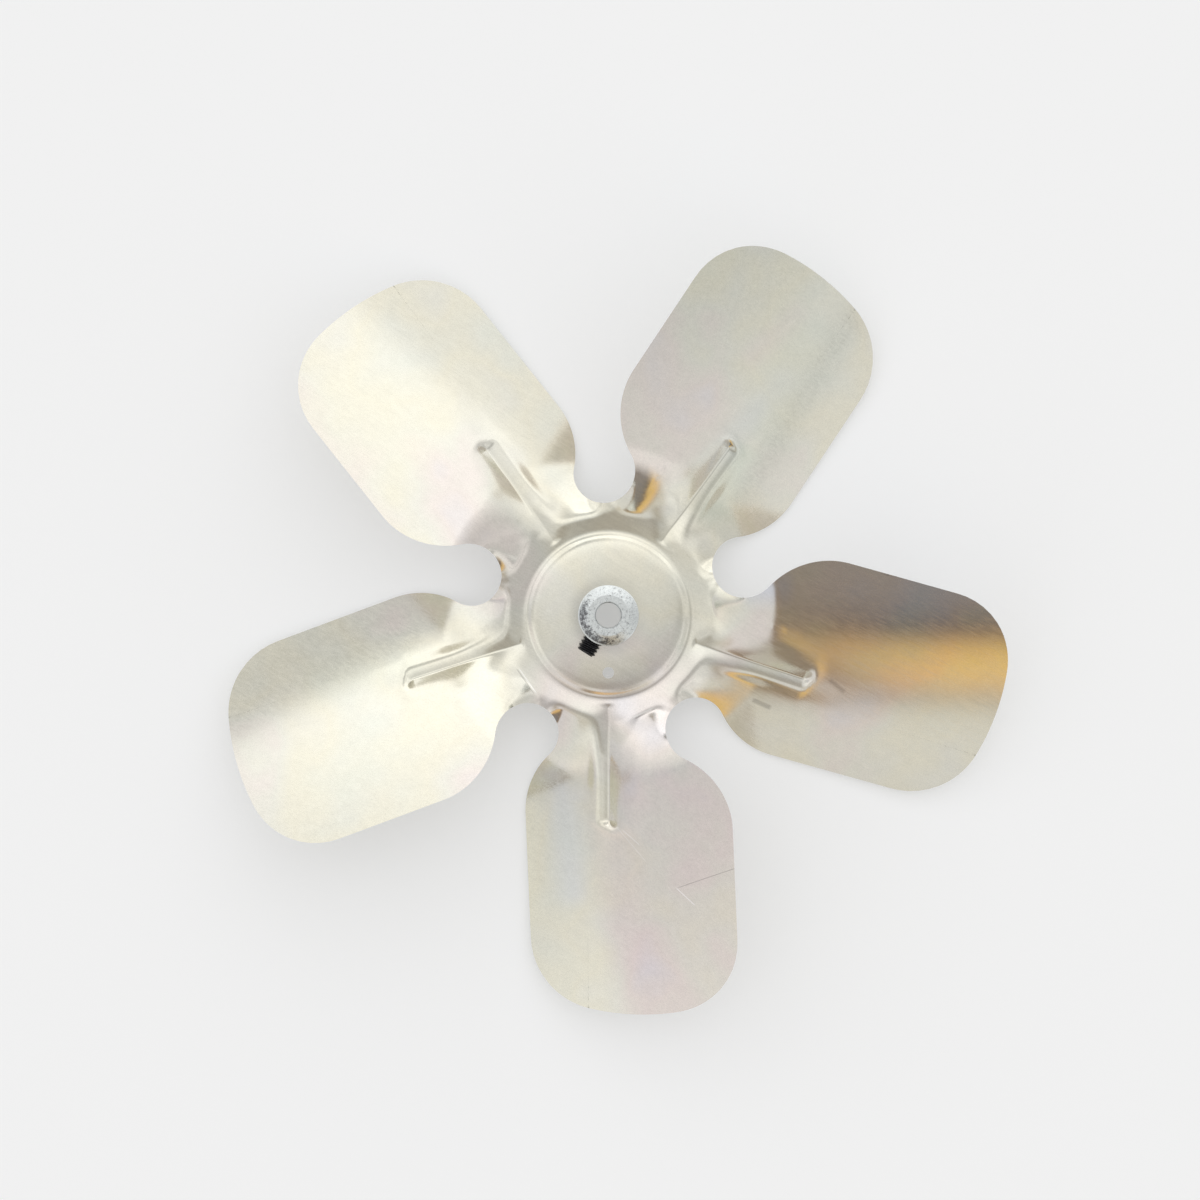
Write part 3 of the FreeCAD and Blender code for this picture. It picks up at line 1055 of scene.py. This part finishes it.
    def centre_at(self, fixed: Vector, distance: float, x_leaned: float) -> Vector:
        """Find the centre of an arc that touches another arc and one of the blade's leaning edges.

        Args:
            fixed: Centre of the other arc.
            distance: Distance between the two centres.
            x_leaned: First coordinate of the wanted centre, in the leaned frame of the edges.

        Returns:
            The centre on the outer side of the other, in the blade frame.
        """
        place = rotated(*fixed, -self.lean)
        rise = math.sqrt(distance ** 2 - (x_leaned - place.x) ** 2)
        return rotated(x_leaned, place.y + rise, self.lean)

    def edge_point(self, edge_x: float, level: Vector) -> Vector:
        """Point of a leaning edge, level with another point."""
        return rotated(edge_x, rotated(*level, -self.lean).y, self.lean)

    def side_stretches(self, side: Side) -> list[Stretch]:
        """Outline of one side of the blade, from the ring to the middle of the tip arc.

        Args:
            side: The side of the blade.

        Returns:
            Notch, root, edge, corner and tip, in that order.
        """
        edge_x = side.outward * self.edge_offsets[side.value]
        corner_radius, root_radius = self.corner_radii[side.value], self.root_radii[side.value]
        notch = self.polar(self.notch_centre_radius, self.notch_angle(side))
        tip_centre = self.polar(self.swept_radius - self.tip_arc_radius, self.tip_arc_angle)
        corner = self.centre_at(tip_centre, self.tip_arc_radius - corner_radius,
                                edge_x - side.outward * corner_radius)
        root = self.centre_at(notch, root_radius + self.notch_radius, edge_x - side.outward * root_radius)
        notch_end = notch + (root - notch).normalized() * self.notch_radius
        root_end, corner_start = self.edge_point(edge_x, root), self.edge_point(edge_x, corner)
        tip_start = tip_centre + (corner - tip_centre).normalized() * self.tip_arc_radius
        ring_point = self.polar(self.ring_outer_radius, self.ring_crossing(side))
        return [
            Stretch(ring_point, notch_end, notch),
            Stretch(notch_end, root_end, root),
            Stretch(root_end, corner_start),
            Stretch(corner_start, tip_start, corner),
            Stretch(tip_start, Vector((0.0, self.tip_v(0.0))), tip_centre),
        ]

    def ring_crossing(self, side: Side) -> float:
        """Find where the notch on one side crosses the ring's outer edge.

        Args:
            side: The side of the blade.

        Returns:
            The angle from the rib to the crossing.
        """
        cosine = self.notch_centre_radius ** 2 + self.ring_outer_radius ** 2 - self.notch_radius ** 2
        half = math.acos(cosine / (2 * self.notch_centre_radius * self.ring_outer_radius))
        return self.notch_angle(side) + side.outward * half

    def tip_v(self, u: float) -> float:
        """Distance outwards of the tip arc at u."""
        centre = self.polar(self.swept_radius - self.tip_arc_radius, self.tip_arc_angle)
        return centre.y + math.sqrt(self.tip_arc_radius ** 2 - (u - centre.x) ** 2)

    def flank_point(self, side: Side, along: float, across: float) -> Vector:
        """Point of the blade outside its middle band, on a patch stretched between four borders.

        Args:
            side: The side of the blade.
            along: Share of the way from the ring to the tip.
            across: Share of the way from the middle band to the edge.

        Returns:
            The point, in the blade frame.
        """
        *lower, corner, tip_arc = self.side_stretches(side)
        middle = corner.point(0.5)
        edge = Path((*lower, Stretch(corner.start, middle, corner.centre)))
        band_u = side.outward * self.band_half_width
        tip_at_band = Vector((band_u, self.tip_v(band_u)))
        tip = Path((Stretch(tip_at_band, tip_arc.start, tip_arc.centre), Stretch(corner.end, middle, corner.centre)))
        ring_at_band = self.polar(self.ring_outer_radius, self.column_angle(Column(Zone.FLANK, 0.0, side)))
        ring = self.polar(self.ring_outer_radius, self.column_angle(Column(Zone.FLANK, across, side)))
        inner = ring_at_band.lerp(tip_at_band, along)
        ruled_across = inner.lerp(edge.point(along), across)
        ruled_along = ring.lerp(tip.point(across), along)
        corners = inner.lerp(edge.point(0.0).lerp(middle, along), across)
        return ruled_across + ruled_along - corners

    @cached_property
    def columns(self) -> list[Column]:
        """Lay out the columns of the blank.

        Returns:
            The columns, from the high notch to the low notch.
        """
        off_band = [(Zone.FLANK, share) for share in graded(0.0, 1.0, *self.flank_columns)]
        off_band += [(Zone.NOTCH, (i + 1) / self.notch_columns) for i in range(self.notch_columns)]
        middle = [Column(Zone.BAND, self.band_half_width * (2 * i / self.band_columns - 1))
                  for i in range(self.band_columns + 1)]
        high, low = ([Column(zone, share, side) for zone, share in off_band] for side in Side)
        return [*reversed(high), *middle, *low]

    def column_angle(self, column: Column) -> float:
        """Angle from the rib at which a column starts on the ring's outer edge.

        Args:
            column: The column.

        Returns:
            The angle, towards the high edge.
        """
        if column.zone is Zone.BAND:
            return -math.asin(column.measure / self.ring_outer_radius)
        crossing = self.ring_crossing(column.side)
        if column.zone is Zone.NOTCH:
            return between((crossing, self.notch_angle(column.side)), column.measure)
        band_angle = -column.side.outward * math.asin(self.band_half_width / self.ring_outer_radius)
        return between((band_angle, crossing), column.measure)

    def ring_edge_radius(self, angle: float) -> float:
        """Radius at which the dish's mesh ends.

        Args:
            angle: Angle from the rib.

        Returns:
            The radius of the ring's outer edge, or of the notch's arc.
        """
        for side in Side:
            off = angle - self.notch_angle(side)
            room = self.notch_radius ** 2 - (self.notch_centre_radius * math.sin(off)) ** 2
            if room > 0:
                near = self.notch_centre_radius * math.cos(off) - math.sqrt(room)
                return min(near, self.ring_outer_radius)
        return self.ring_outer_radius

    @cached_property
    def dish_radii(self) -> list[float]:
        """Space out the dish's rows of vertices.

        Returns:
            Their radii, from the hub hole to the ring's crest.
        """
        radii = [self.hub_hole_radius]
        for outer, count, growth in self.dish_rows:
            radii += graded(radii[-1], outer, count, growth)
        return radii

    @cached_property
    def blade_rows(self) -> list[float]:
        """Space out the blade's rows of vertices.

        Returns:
            The rows, as shares of the way from the ring to the tip.
        """
        fine_length = self.groove_ends[1] + self.groove_rows_past - self.ring_outer_radius
        fine_share = fine_length / (self.swept_radius - self.ring_outer_radius)
        return graded(0.0, fine_share, *self.groove_rows) + graded(fine_share, 1.0, *self.outer_rows)

    @property
    def first_blade_row(self) -> int:
        """Number of rows in the dish and the ring."""
        return len(self.dish_radii) + self.ring_rows

    def blank_point(self, column: Column, row: int) -> Vector:
        """Find the place of a vertex in the flat blank.

        Args:
            column: Its column.
            row: Number of its row, from the hub hole outwards.

        Returns:
            The place, in the blade frame.
        """
        angle = self.column_angle(column)
        crest, edge = self.dish_radii[-1], self.ring_edge_radius(angle)
        if row < len(self.dish_radii):
            return self.polar(self.dish_radii[row], angle)
        if row < self.first_blade_row:
            return self.polar(between((crest, edge), (row - len(self.dish_radii) + 1) / self.ring_rows), angle)
        along = self.blade_rows[row - self.first_blade_row]
        if column.zone is Zone.BAND:
            start = math.sqrt(self.ring_outer_radius ** 2 - column.measure ** 2)
            return Vector((column.measure, between((start, self.tip_v(column.measure)), along)))
        if column.zone is Zone.FLANK:
            return self.flank_point(column.side, along, column.measure)
        return self.polar(edge, angle)

    def make_blank(self) -> Object:
        """Lay out the flat blank of one blade's sector from a grid.

        Returns:
            The blank, cut open at the notches.
        """
        last_column = len(self.columns) - 1
        last_row = self.first_blade_row + len(self.blade_rows) - 1
        deselect_all()
        bpy.ops.mesh.primitive_grid_add(x_subdivisions=last_column, y_subdivisions=last_row, size=1.0)
        blank = named(bpy.context.object, "blade_blank")
        with whole_mesh(blank):
            bpy.ops.mesh.select_mode(type="FACE")
        mesh = blank.data
        places = []
        for vertex in mesh.vertices:
            column = self.columns[round((vertex.co.x + 0.5) * last_column)]
            row = round((vertex.co.y + 0.5) * last_row)
            vertex.co = self.blank_point(column, row).to_3d()
            places.append((row, column.zone))
        for polygon in mesh.polygons:
            rows, zones = zip(*(places[i] for i in polygon.vertices))
            polygon.select = max(rows) >= self.first_blade_row and Zone.NOTCH in zones
        bpy.ops.object.mode_set(mode="EDIT")
        bpy.ops.mesh.delete(type="FACE")
        bpy.ops.object.mode_set(mode="OBJECT")
        return blank

    def press(self, sheet: Object) -> None:
        """Give the flat sheet its thickness, and press its back and then its hub side to their heights.

        Args:
            sheet: The flat sheet.
        """
        for vertex in sheet.data.vertices:
            vertex.co.z = self.back_height(vertex.co.x, vertex.co.y)
        with whole_mesh(sheet):
            bpy.ops.mesh.extrude_region_move(TRANSFORM_OT_translate={"value": (0.0, 0.0, self.gauge)})
        for vertex in sheet.data.vertices:
            if vertex.select:
                vertex.co.z = self.front_height(vertex.co.x, vertex.co.y)

    def build(self, material: Material) -> None:
        """Build the spider: a blank per blade, joined, pressed, pierced and edge-rounded.

        Args:
            material: The sheet's finish.
        """
        blank = self.make_blank()
        copies = [blank]
        for _ in range(1, self.blade_count):
            copy = blank.copy()
            copy.data = blank.data.copy()
            bpy.context.collection.objects.link(copy)
            copies.append(copy)
        for number, copy in enumerate(copies):
            copy.rotation_euler.z = self.first_turn + number * self.step
        apply_place(*copies)
        bpy.ops.object.join()
        spider = named(bpy.context.object, "pressed_blade_spider")
        weld(spider, self.weld_distance)
        self.press(spider)
        hole_place = (0.0, -self.index_hole_pitch_radius, 0.0)
        drill(spider, self.index_hole_sides, self.index_hole_radius, 6 * self.gauge, hole_place)
        round_edges(spider, self.edge_rounding, self.rounded_angle)
        place_finished(spider, self.node, material)


# Hub


@dataclass
class Hub:
    """Turned hub: bevelled free end, barrel, and a spigot staked over the back of the disc."""

    node: str = "hub"
    sheet_gauge: float = SHEET_GAUGE
    bore_radius: float = 3.97 * MM
    bore_chamfer: float = 0.35 * MM
    radius: float = 9.525 * MM
    length: float = 15.9 * MM
    end_flat_radius: float = 6.4 * MM
    bevel_drop: float = 1.3 * MM
    rim_chamfer: float = 0.4 * MM
    spigot_radius: float = 6.8 * MM
    stake_radius: float = 8.3 * MM
    stake_thickness: float = 1.3 * MM
    stake_chamfer: float = 0.5 * MM
    turning_steps: int = 144
    edge_rounding: float = 0.12 * MM
    rounded_angle: float = math.radians(25.0)
    screw_hole_radius: float = 3.325 * MM
    screw_hole_sides: int = 64
    screw_depth_below_end: float = 7.6 * MM
    screw_angle: float = SCREW_ANGLE

    def build(self, material: Material) -> None:
        """Turn the hub from its profile, and drill its screw hole.

        Args:
            material: The hub's finish.
        """
        stake_top = -self.sheet_gauge
        stake_end = stake_top - self.stake_thickness
        bevel_end = self.length - self.bevel_drop
        mouth = self.bore_radius + self.bore_chamfer
        profile = [
            (mouth, self.length),
            (self.end_flat_radius, self.length),
            (self.radius - self.rim_chamfer, bevel_end),
            (self.radius, bevel_end - self.rim_chamfer),
            (self.radius, 0.0),
            (self.spigot_radius, 0.0),
            (self.spigot_radius, stake_top),
            (self.stake_radius, stake_top),
            (self.stake_radius, stake_end + self.stake_chamfer),
            (self.stake_radius - self.stake_chamfer, stake_end),
            (mouth, stake_end),
            (self.bore_radius, stake_end + self.bore_chamfer),
            (self.bore_radius, self.length - self.bore_chamfer),
            (mouth, self.length),
        ]
        hub = turned(profile, "turned_hub", (0.0, 0.0, 1.0), self.turning_steps)
        place = rotated(self.radius, 0.0, self.screw_angle).to_3d()
        place.z = self.length - self.screw_depth_below_end
        drill(hub, self.screw_hole_sides, self.screw_hole_radius, 2 * self.radius, place,
              (0.0, math.pi / 2, self.screw_angle))
        round_edges(hub, self.edge_rounding, self.rounded_angle)
        place_finished(hub, self.node, material)


# Set screw


@dataclass
class SetScrew:
    """Socket set screw with a cup point and a coarse thread, standing proud of the hub.

    It is made along X and then laid into its hole.
    """

    node: str = "set_screw"
    radius: float = 3.175 * MM
    length: float = 9.52 * MM
    point_x: float = 4.39 * MM
    axis_z: float = 8.3 * MM
    angle: float = SCREW_ANGLE
    pitch: float = 1.27 * MM
    thread_depth: float = 0.72 * MM
    crest_width: float = 0.16 * MM
    root_width: float = 0.22 * MM
    chamfer: float = 0.7 * MM
    socket_radius: float = 1.836 * MM
    socket_sides: int = 6
    socket_depth: float = 3.4 * MM
    cup_radius: float = 1.8 * MM
    cup_depth: float = 0.9 * MM
    turning_steps: int = 72
    spare_turns: int = 2
    trimming: float = 0.3 * MM
    clearance: float = 0.05 * MM
    smooth_angle: float = math.radians(35.0)

    @property
    def end_x(self) -> float:
        """Place of the socket end."""
        return self.point_x + self.length

    def make_thread(self) -> Object:
        """Wind the thread's saw profile one turn, so that each crest meets the next.

        Returns:
            The wound thread, longer than the screw and open at its ends.
        """
        flank = (self.pitch - self.crest_width - self.root_width) / 2
        start = self.point_x - self.spare_turns * self.pitch
        turns = round(self.length / self.pitch) + 2 * self.spare_turns
        root = self.radius - self.thread_depth
        profile = []
        for turn in range(turns):
            crest = start + turn * self.pitch
            crest_end = crest + self.crest_width
            profile += [(crest, self.radius), (crest_end, self.radius),
                        (crest_end + flank, root), (crest_end + flank + self.root_width, root)]
        profile.append((start + turns * self.pitch, self.radius))
        thread = polyline(profile, "threaded_set_screw")
        winding = thread.modifiers.new("winding", "SCREW")
        winding.axis = "X"
        winding.angle = math.tau
        winding.screw_offset = self.pitch
        winding.steps = winding.render_steps = self.turning_steps
        winding.use_merge_vertices = True
        winding.merge_threshold = WELD_DISTANCE
        pick(thread)
        bpy.ops.object.modifier_apply(modifier=winding.name)
        weld(thread)
        return thread

    def turned_limit(self) -> Object:
        """Turn the chamfered body that trims the wound thread to the screw's length.

        Returns:
            The closed body.
        """
        clear = self.radius + self.clearance
        profile = [
            (self.point_x + self.cup_depth, 0.0),
            (self.point_x, self.cup_radius),
            (self.point_x, clear - self.chamfer),
            (self.point_x + self.chamfer, clear),
            (self.end_x - self.chamfer, clear),
            (self.end_x, clear - self.chamfer),
            (self.end_x, 0.0),
        ]
        return turned(profile, "screw_limit", (1.0, 0.0, 0.0), self.turning_steps)

    def build(self, material: Material) -> None:
        """Build the screw: a thread closed at both ends, trimmed to its body, with its socket.

        Args:
            material: The screw's finish.
        """
        screw = self.make_thread()
        with whole_mesh(screw):
            for x, at_point in ((self.point_x - self.trimming, True), (self.end_x + self.trimming, False)):
                bpy.ops.mesh.select_all(action="SELECT")
                bpy.ops.mesh.bisect(plane_co=(x, 0.0, 0.0), plane_no=(1.0, 0.0, 0.0), use_fill=True,
                                    clear_inner=at_point, clear_outer=not at_point)
        weld(screw)
        cut(screw, self.turned_limit(), Keep.INSIDE)
        drill(screw, self.socket_sides, self.socket_radius, 2 * self.socket_depth, (self.end_x, 0.0, 0.0),
              (0.0, math.pi / 2, 0.0))
        screw.rotation_euler = (0.0, 0.0, self.angle)
        screw.location = (0.0, 0.0, self.axis_z)
        apply_place(screw)
        bpy.ops.object.shade_smooth_by_angle(angle=self.smooth_angle)
        place_finished(screw, self.node, material)


# Studio


@dataclass(frozen=True)
class Surroundings:
    """Light of the room by direction: walls low down, a soffit above them and a ceiling overhead.

    Azimuths are in degrees from +X towards +Y, elevations in degrees above the floor. The stops of a list
    pair one of them with a grey level or a colour, or with a share of the soffit's full rise.
    """

    walls: tuple = (
        (0, 0.82), (20, 0.73), (36, 1.10), (41, 1.30), (60, 1.16), (80, 1.40), (100, 1.46), (112, 1.40), (118, 1.24),
        (123, 1.08), (140, 1.22), (160, 1.06), (178, (0.73, 0.735, 0.77)), (186, (0.74, 0.735, 0.77)),
        (190, (0.80, 0.77, 0.79)), (195, (0.95, 0.92, 0.93)), (208, 0.86), (232, 0.84), (275, 0.88), (300, 1.0),
        (320, 0.98), (327, 0.86), (331, 0.84), (334, (0.76, 0.77, 0.77)), (338, (0.68, 0.695, 0.69)), (346, 0.72))
    wall_fade: tuple = ((0.0, 0.98), (0.28, 0.98), (0.45, 1.04), (1.0, 1.04))
    soffit: tuple = (
        (0, 0.72), (20, 0.90), (40, 1.03), (60, 1.02), (80, 1.16), (100, 0.80), (110, 0.68), (120, 0.72),
        (140, 1.06), (162, 0.86), (177, 0.72), (182, 0.74), (187, 0.92), (192, 1.05), (202, 1.04), (222, 0.92),
        (242, (0.72, 0.68, 0.62)), (262, 0.86), (282, (0.54, 0.50, 0.43)), (302, 0.82), (322, 0.92), (336, 0.84),
        (346, 0.88), (360, 0.72))
    soffit_starts: tuple = (38.0, 42.3)
    soffit_rise: tuple = (
        (0, 0.3), (42, 0.15), (50, 0.4), (80, 0.2), (104, 0.0), (110, 0.1), (118, 0.8), (124, 0.9), (145, 0.4),
        (180, 0.1), (190, 0.4), (250, 0.3), (360, 0.3))
    full_rise: float = 6.0
    ceiling: tuple = ((-0.6, 0.72), (-0.35, 0.60), (-0.12, 0.58), (0.0, 0.82), (0.12, 1.08), (0.3, 1.22), (0.6, 1.15))
    ceiling_azimuth: float = 115.0
    ceiling_starts: tuple = (52.0, 66.0)
    ceiling_tint: tuple = (
        (0, 1.02), (40, 0.96), (80, 1.02), (122, 1.0), (150, 0.88), (185, 0.76), (205, 0.95), (222, 1.26),
        (242, (0.95, 0.92, 0.87)), (265, (0.80, 0.76, 0.71)), (285, (0.80, 0.77, 0.72)), (310, 1.02), (340, 1.06),
        (360, 1.02))
    ceiling_tint_starts: tuple = (88.0, 76.0)
    beam_azimuth: float = 330.0
    beam_azimuths: tuple = (300.0, 318.0, 346.0, 356.0)
    beam_elevations: tuple = (43.2, 44.6, 45.4, 47.0)
    beam_rise: float = 0.75
    beam_shade: float = 0.66
    cabinet_azimuth: float = 256.0
    cabinet_azimuths: tuple = (247.0, 254.0, 296.0, 310.0)
    cabinet: tuple = (
        (0.0, (0.36, 0.33, 0.29)), (16.0, (0.33, 0.305, 0.28)), (23.0, (0.31, 0.29, 0.275)),
        (25.8, (0.22, 0.205, 0.20)), (28.6, (0.20, 0.165, 0.14)), (29.8, (0.50, 0.34, 0.16)),
        (31.3, (0.90, 0.61, 0.24)), (34.5, (0.98, 0.67, 0.25)), (37.0, (0.94, 0.64, 0.34)),
        (38.6, (0.62, 0.51, 0.40)), (40.2, (0.60, 0.56, 0.50)), (42.0, (0.80, 0.79, 0.73)))
    post: tuple = (0.34, 0.27, 0.20)
    post_azimuths: tuple = (262.5, 256.5)
    post_top: tuple = (41.0, 37.0)
    strength: float = 1.0

    def by_azimuth(self, graph: Graph, turn: Socket, stops: tuple) -> Socket:
        """Colour by stops over the azimuth, which is given as a share of a full turn."""
        return graph.ramp(turn, [(azimuth / 360.0, level) for azimuth, level in stops])

    def window(self, graph: Graph, value: Socket, limits: tuple) -> Socket:
        """Smooth rise and fall of a value between four limits: start, full, last full and end."""
        opens, opened, closes, closed = limits
        return graph.math("MULTIPLY", graph.change(value, opens, opened), graph.change(value, closed, closes))

    def build(self, graph: Graph) -> None:
        """Build the world's shader.

        Args:
            graph: The world's empty graph.
        """
        x, y, z = graph.split(graph.place("Generated"))
        elevation = graph.math("MULTIPLY", graph.math("ARCSINE", z), 180.0 / math.pi)
        turn = graph.math("FRACT", graph.math("DIVIDE", graph.math("ARCTAN2", y, x), math.tau))
        azimuth = graph.math("MULTIPLY", turn, 360.0)

        fade = graph.ramp(graph.math("DIVIDE", elevation, 90.0), self.wall_fade)
        walls = graph.mix(1.0, self.by_azimuth(graph, turn, self.walls), fade, Blend.TINT)

        ahead = graph.leaning(x, y, math.radians(self.cabinet_azimuth))
        up_its_face = graph.math("ARCTAN2", z, graph.math("MAXIMUM", ahead, 0.001))
        cabinet = graph.ramp(graph.math("DIVIDE", up_its_face, math.pi / 2),
                             [(height / 90.0, colour) for height, colour in self.cabinet])
        at_post = graph.math("MULTIPLY", graph.change(azimuth, *self.post_azimuths),
                             graph.change(elevation, *self.post_top))
        cabinet = graph.mix(at_post, cabinet, self.post)
        walls = graph.mix(self.window(graph, azimuth, self.cabinet_azimuths), walls, cabinet)

        risen = graph.math("MULTIPLY_ADD", self.by_azimuth(graph, turn, self.soffit_rise), -self.full_rise, elevation)
        soffit = self.by_azimuth(graph, turn, self.soffit)
        sides = graph.mix(graph.change(risen, *self.soffit_starts), walls, soffit)

        along_beam = graph.math("MULTIPLY_ADD", azimuth, -self.beam_rise, self.beam_rise * self.beam_azimuth)
        beam = graph.math("MULTIPLY", self.window(graph, azimuth, self.beam_azimuths),
                          self.window(graph, graph.math("ADD", elevation, along_beam), self.beam_elevations))
        sides = graph.mix(beam, sides, self.beam_shade, Blend.TINT)

        towards_light = graph.leaning(x, y, math.radians(self.ceiling_azimuth))
        ceiling = graph.ramp(graph.math("MULTIPLY_ADD", towards_light, 0.5, 0.5),
                             [(0.5 + lean / 2, level) for lean, level in self.ceiling])
        ceiling = graph.mix(graph.change(elevation, *self.ceiling_tint_starts), ceiling,
                            self.by_azimuth(graph, turn, self.ceiling_tint), Blend.TINT)
        colour = graph.mix(graph.change(elevation, *self.ceiling_starts), sides, ceiling)
        background = graph.add("ShaderNodeBackground", {"Color": colour, "Strength": self.strength})
        graph.add("ShaderNodeOutputWorld", {"Surface": background.outputs[0]})


@dataclass
class Studio:
    """Pale floor, soft light and a camera straight above the fan."""

    camera_place: tuple = (-2.64 * MM, 4.86 * MM)
    lens_base: float = 2.1 * MM
    camera_height: float = 900.0 * MM
    frame_width: float = 381.0 * MM
    sensor: float = 36.0
    nearest: float = 0.01
    farthest: float = 20.0
    floor_size: float = 30.0
    floor_level: float = 0.0
    floor_colour: tuple = (0.925, 0.93, 0.936)
    floor_roughness: float = 0.7
    floor_gloss: float = 0.2
    floor_glow: tuple = (0.975, 0.985, 0.99)
    glow_share: float = 0.35

    def make_floor(self) -> None:
        """Lay the pale floor under the lowest blade tips. It can't be seen from below."""
        deselect_all()
        bpy.ops.mesh.primitive_plane_add(size=self.floor_size, location=(0.0, 0.0, self.floor_level))
        floor = named(bpy.context.object, "floor")
        material, graph, shader = new_material("pale_floor")
        graph.feed(shader, {"Base Color": rgba(self.floor_colour), "Roughness": self.floor_roughness,
                            "Specular IOR Level": self.floor_gloss})
        underside = graph.add("ShaderNodeNewGeometry").outputs["Backfacing"]
        clear = graph.add("ShaderNodeBsdfTransparent").outputs[0]
        glow = graph.add("ShaderNodeEmission", {"Color": rgba(self.floor_glow)}).outputs[0]
        ways = graph.add("ShaderNodeLightPath").outputs
        shiny = graph.math("MAXIMUM", ways["Is Glossy Ray"], ways["Is Transmission Ray"])
        seen = graph.math("MULTIPLY", graph.math("MAXIMUM", ways["Is Camera Ray"], shiny), self.glow_share)
        lit = graph.add("ShaderNodeMixShader", {0: seen, 1: shader.outputs[0], 2: glow})
        shown = graph.add("ShaderNodeMixShader", {0: underside, 1: lit.outputs[0], 2: clear})
        graph.add("ShaderNodeOutputMaterial", {"Surface": shown.outputs[0]}, is_active_output=True)
        floor.data.materials.append(material)
        floor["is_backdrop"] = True

    def make_world(self) -> None:
        """Surround the scene with soft light from all sides."""
        world = bpy.data.worlds.new("studio")
        bpy.context.scene.world = world
        world.use_nodes = True
        Surroundings().build(Graph(world.node_tree))

    def make_camera(self) -> None:
        """Stand the camera straight above the fan, with the photograph's field of view."""
        data = bpy.data.cameras.new("camera")
        data.sensor_width = self.sensor
        data.lens = self.sensor * self.camera_height / self.frame_width
        data.clip_start, data.clip_end = self.nearest, self.farthest
        camera = bpy.data.objects.new("camera", data)
        bpy.context.collection.objects.link(camera)
        camera.location = (*self.camera_place, self.lens_base + self.camera_height)
        bpy.context.scene.camera = camera

    def build(self) -> None:
        """Build the studio and set how colours are shown."""
        self.make_floor()
        self.make_world()
        self.make_camera()
        bpy.context.scene.view_settings.view_transform = "Standard"


def main() -> None:
    """Build every piece, then the studio, whose floor lies just under the CAD model's lowest point."""
    logging.basicConfig(level=logging.INFO, format="%(name)s: %(message)s")
    cad_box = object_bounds()
    BladeSpider().build(PassivatedSheet().build())
    Hub().build(PlatedHub().build())
    SetScrew().build(BlackOxide().build())
    Studio(floor_level=cad_box[0].z - FLOOR_GAP).build()


if __name__ == "__main__":
    main()
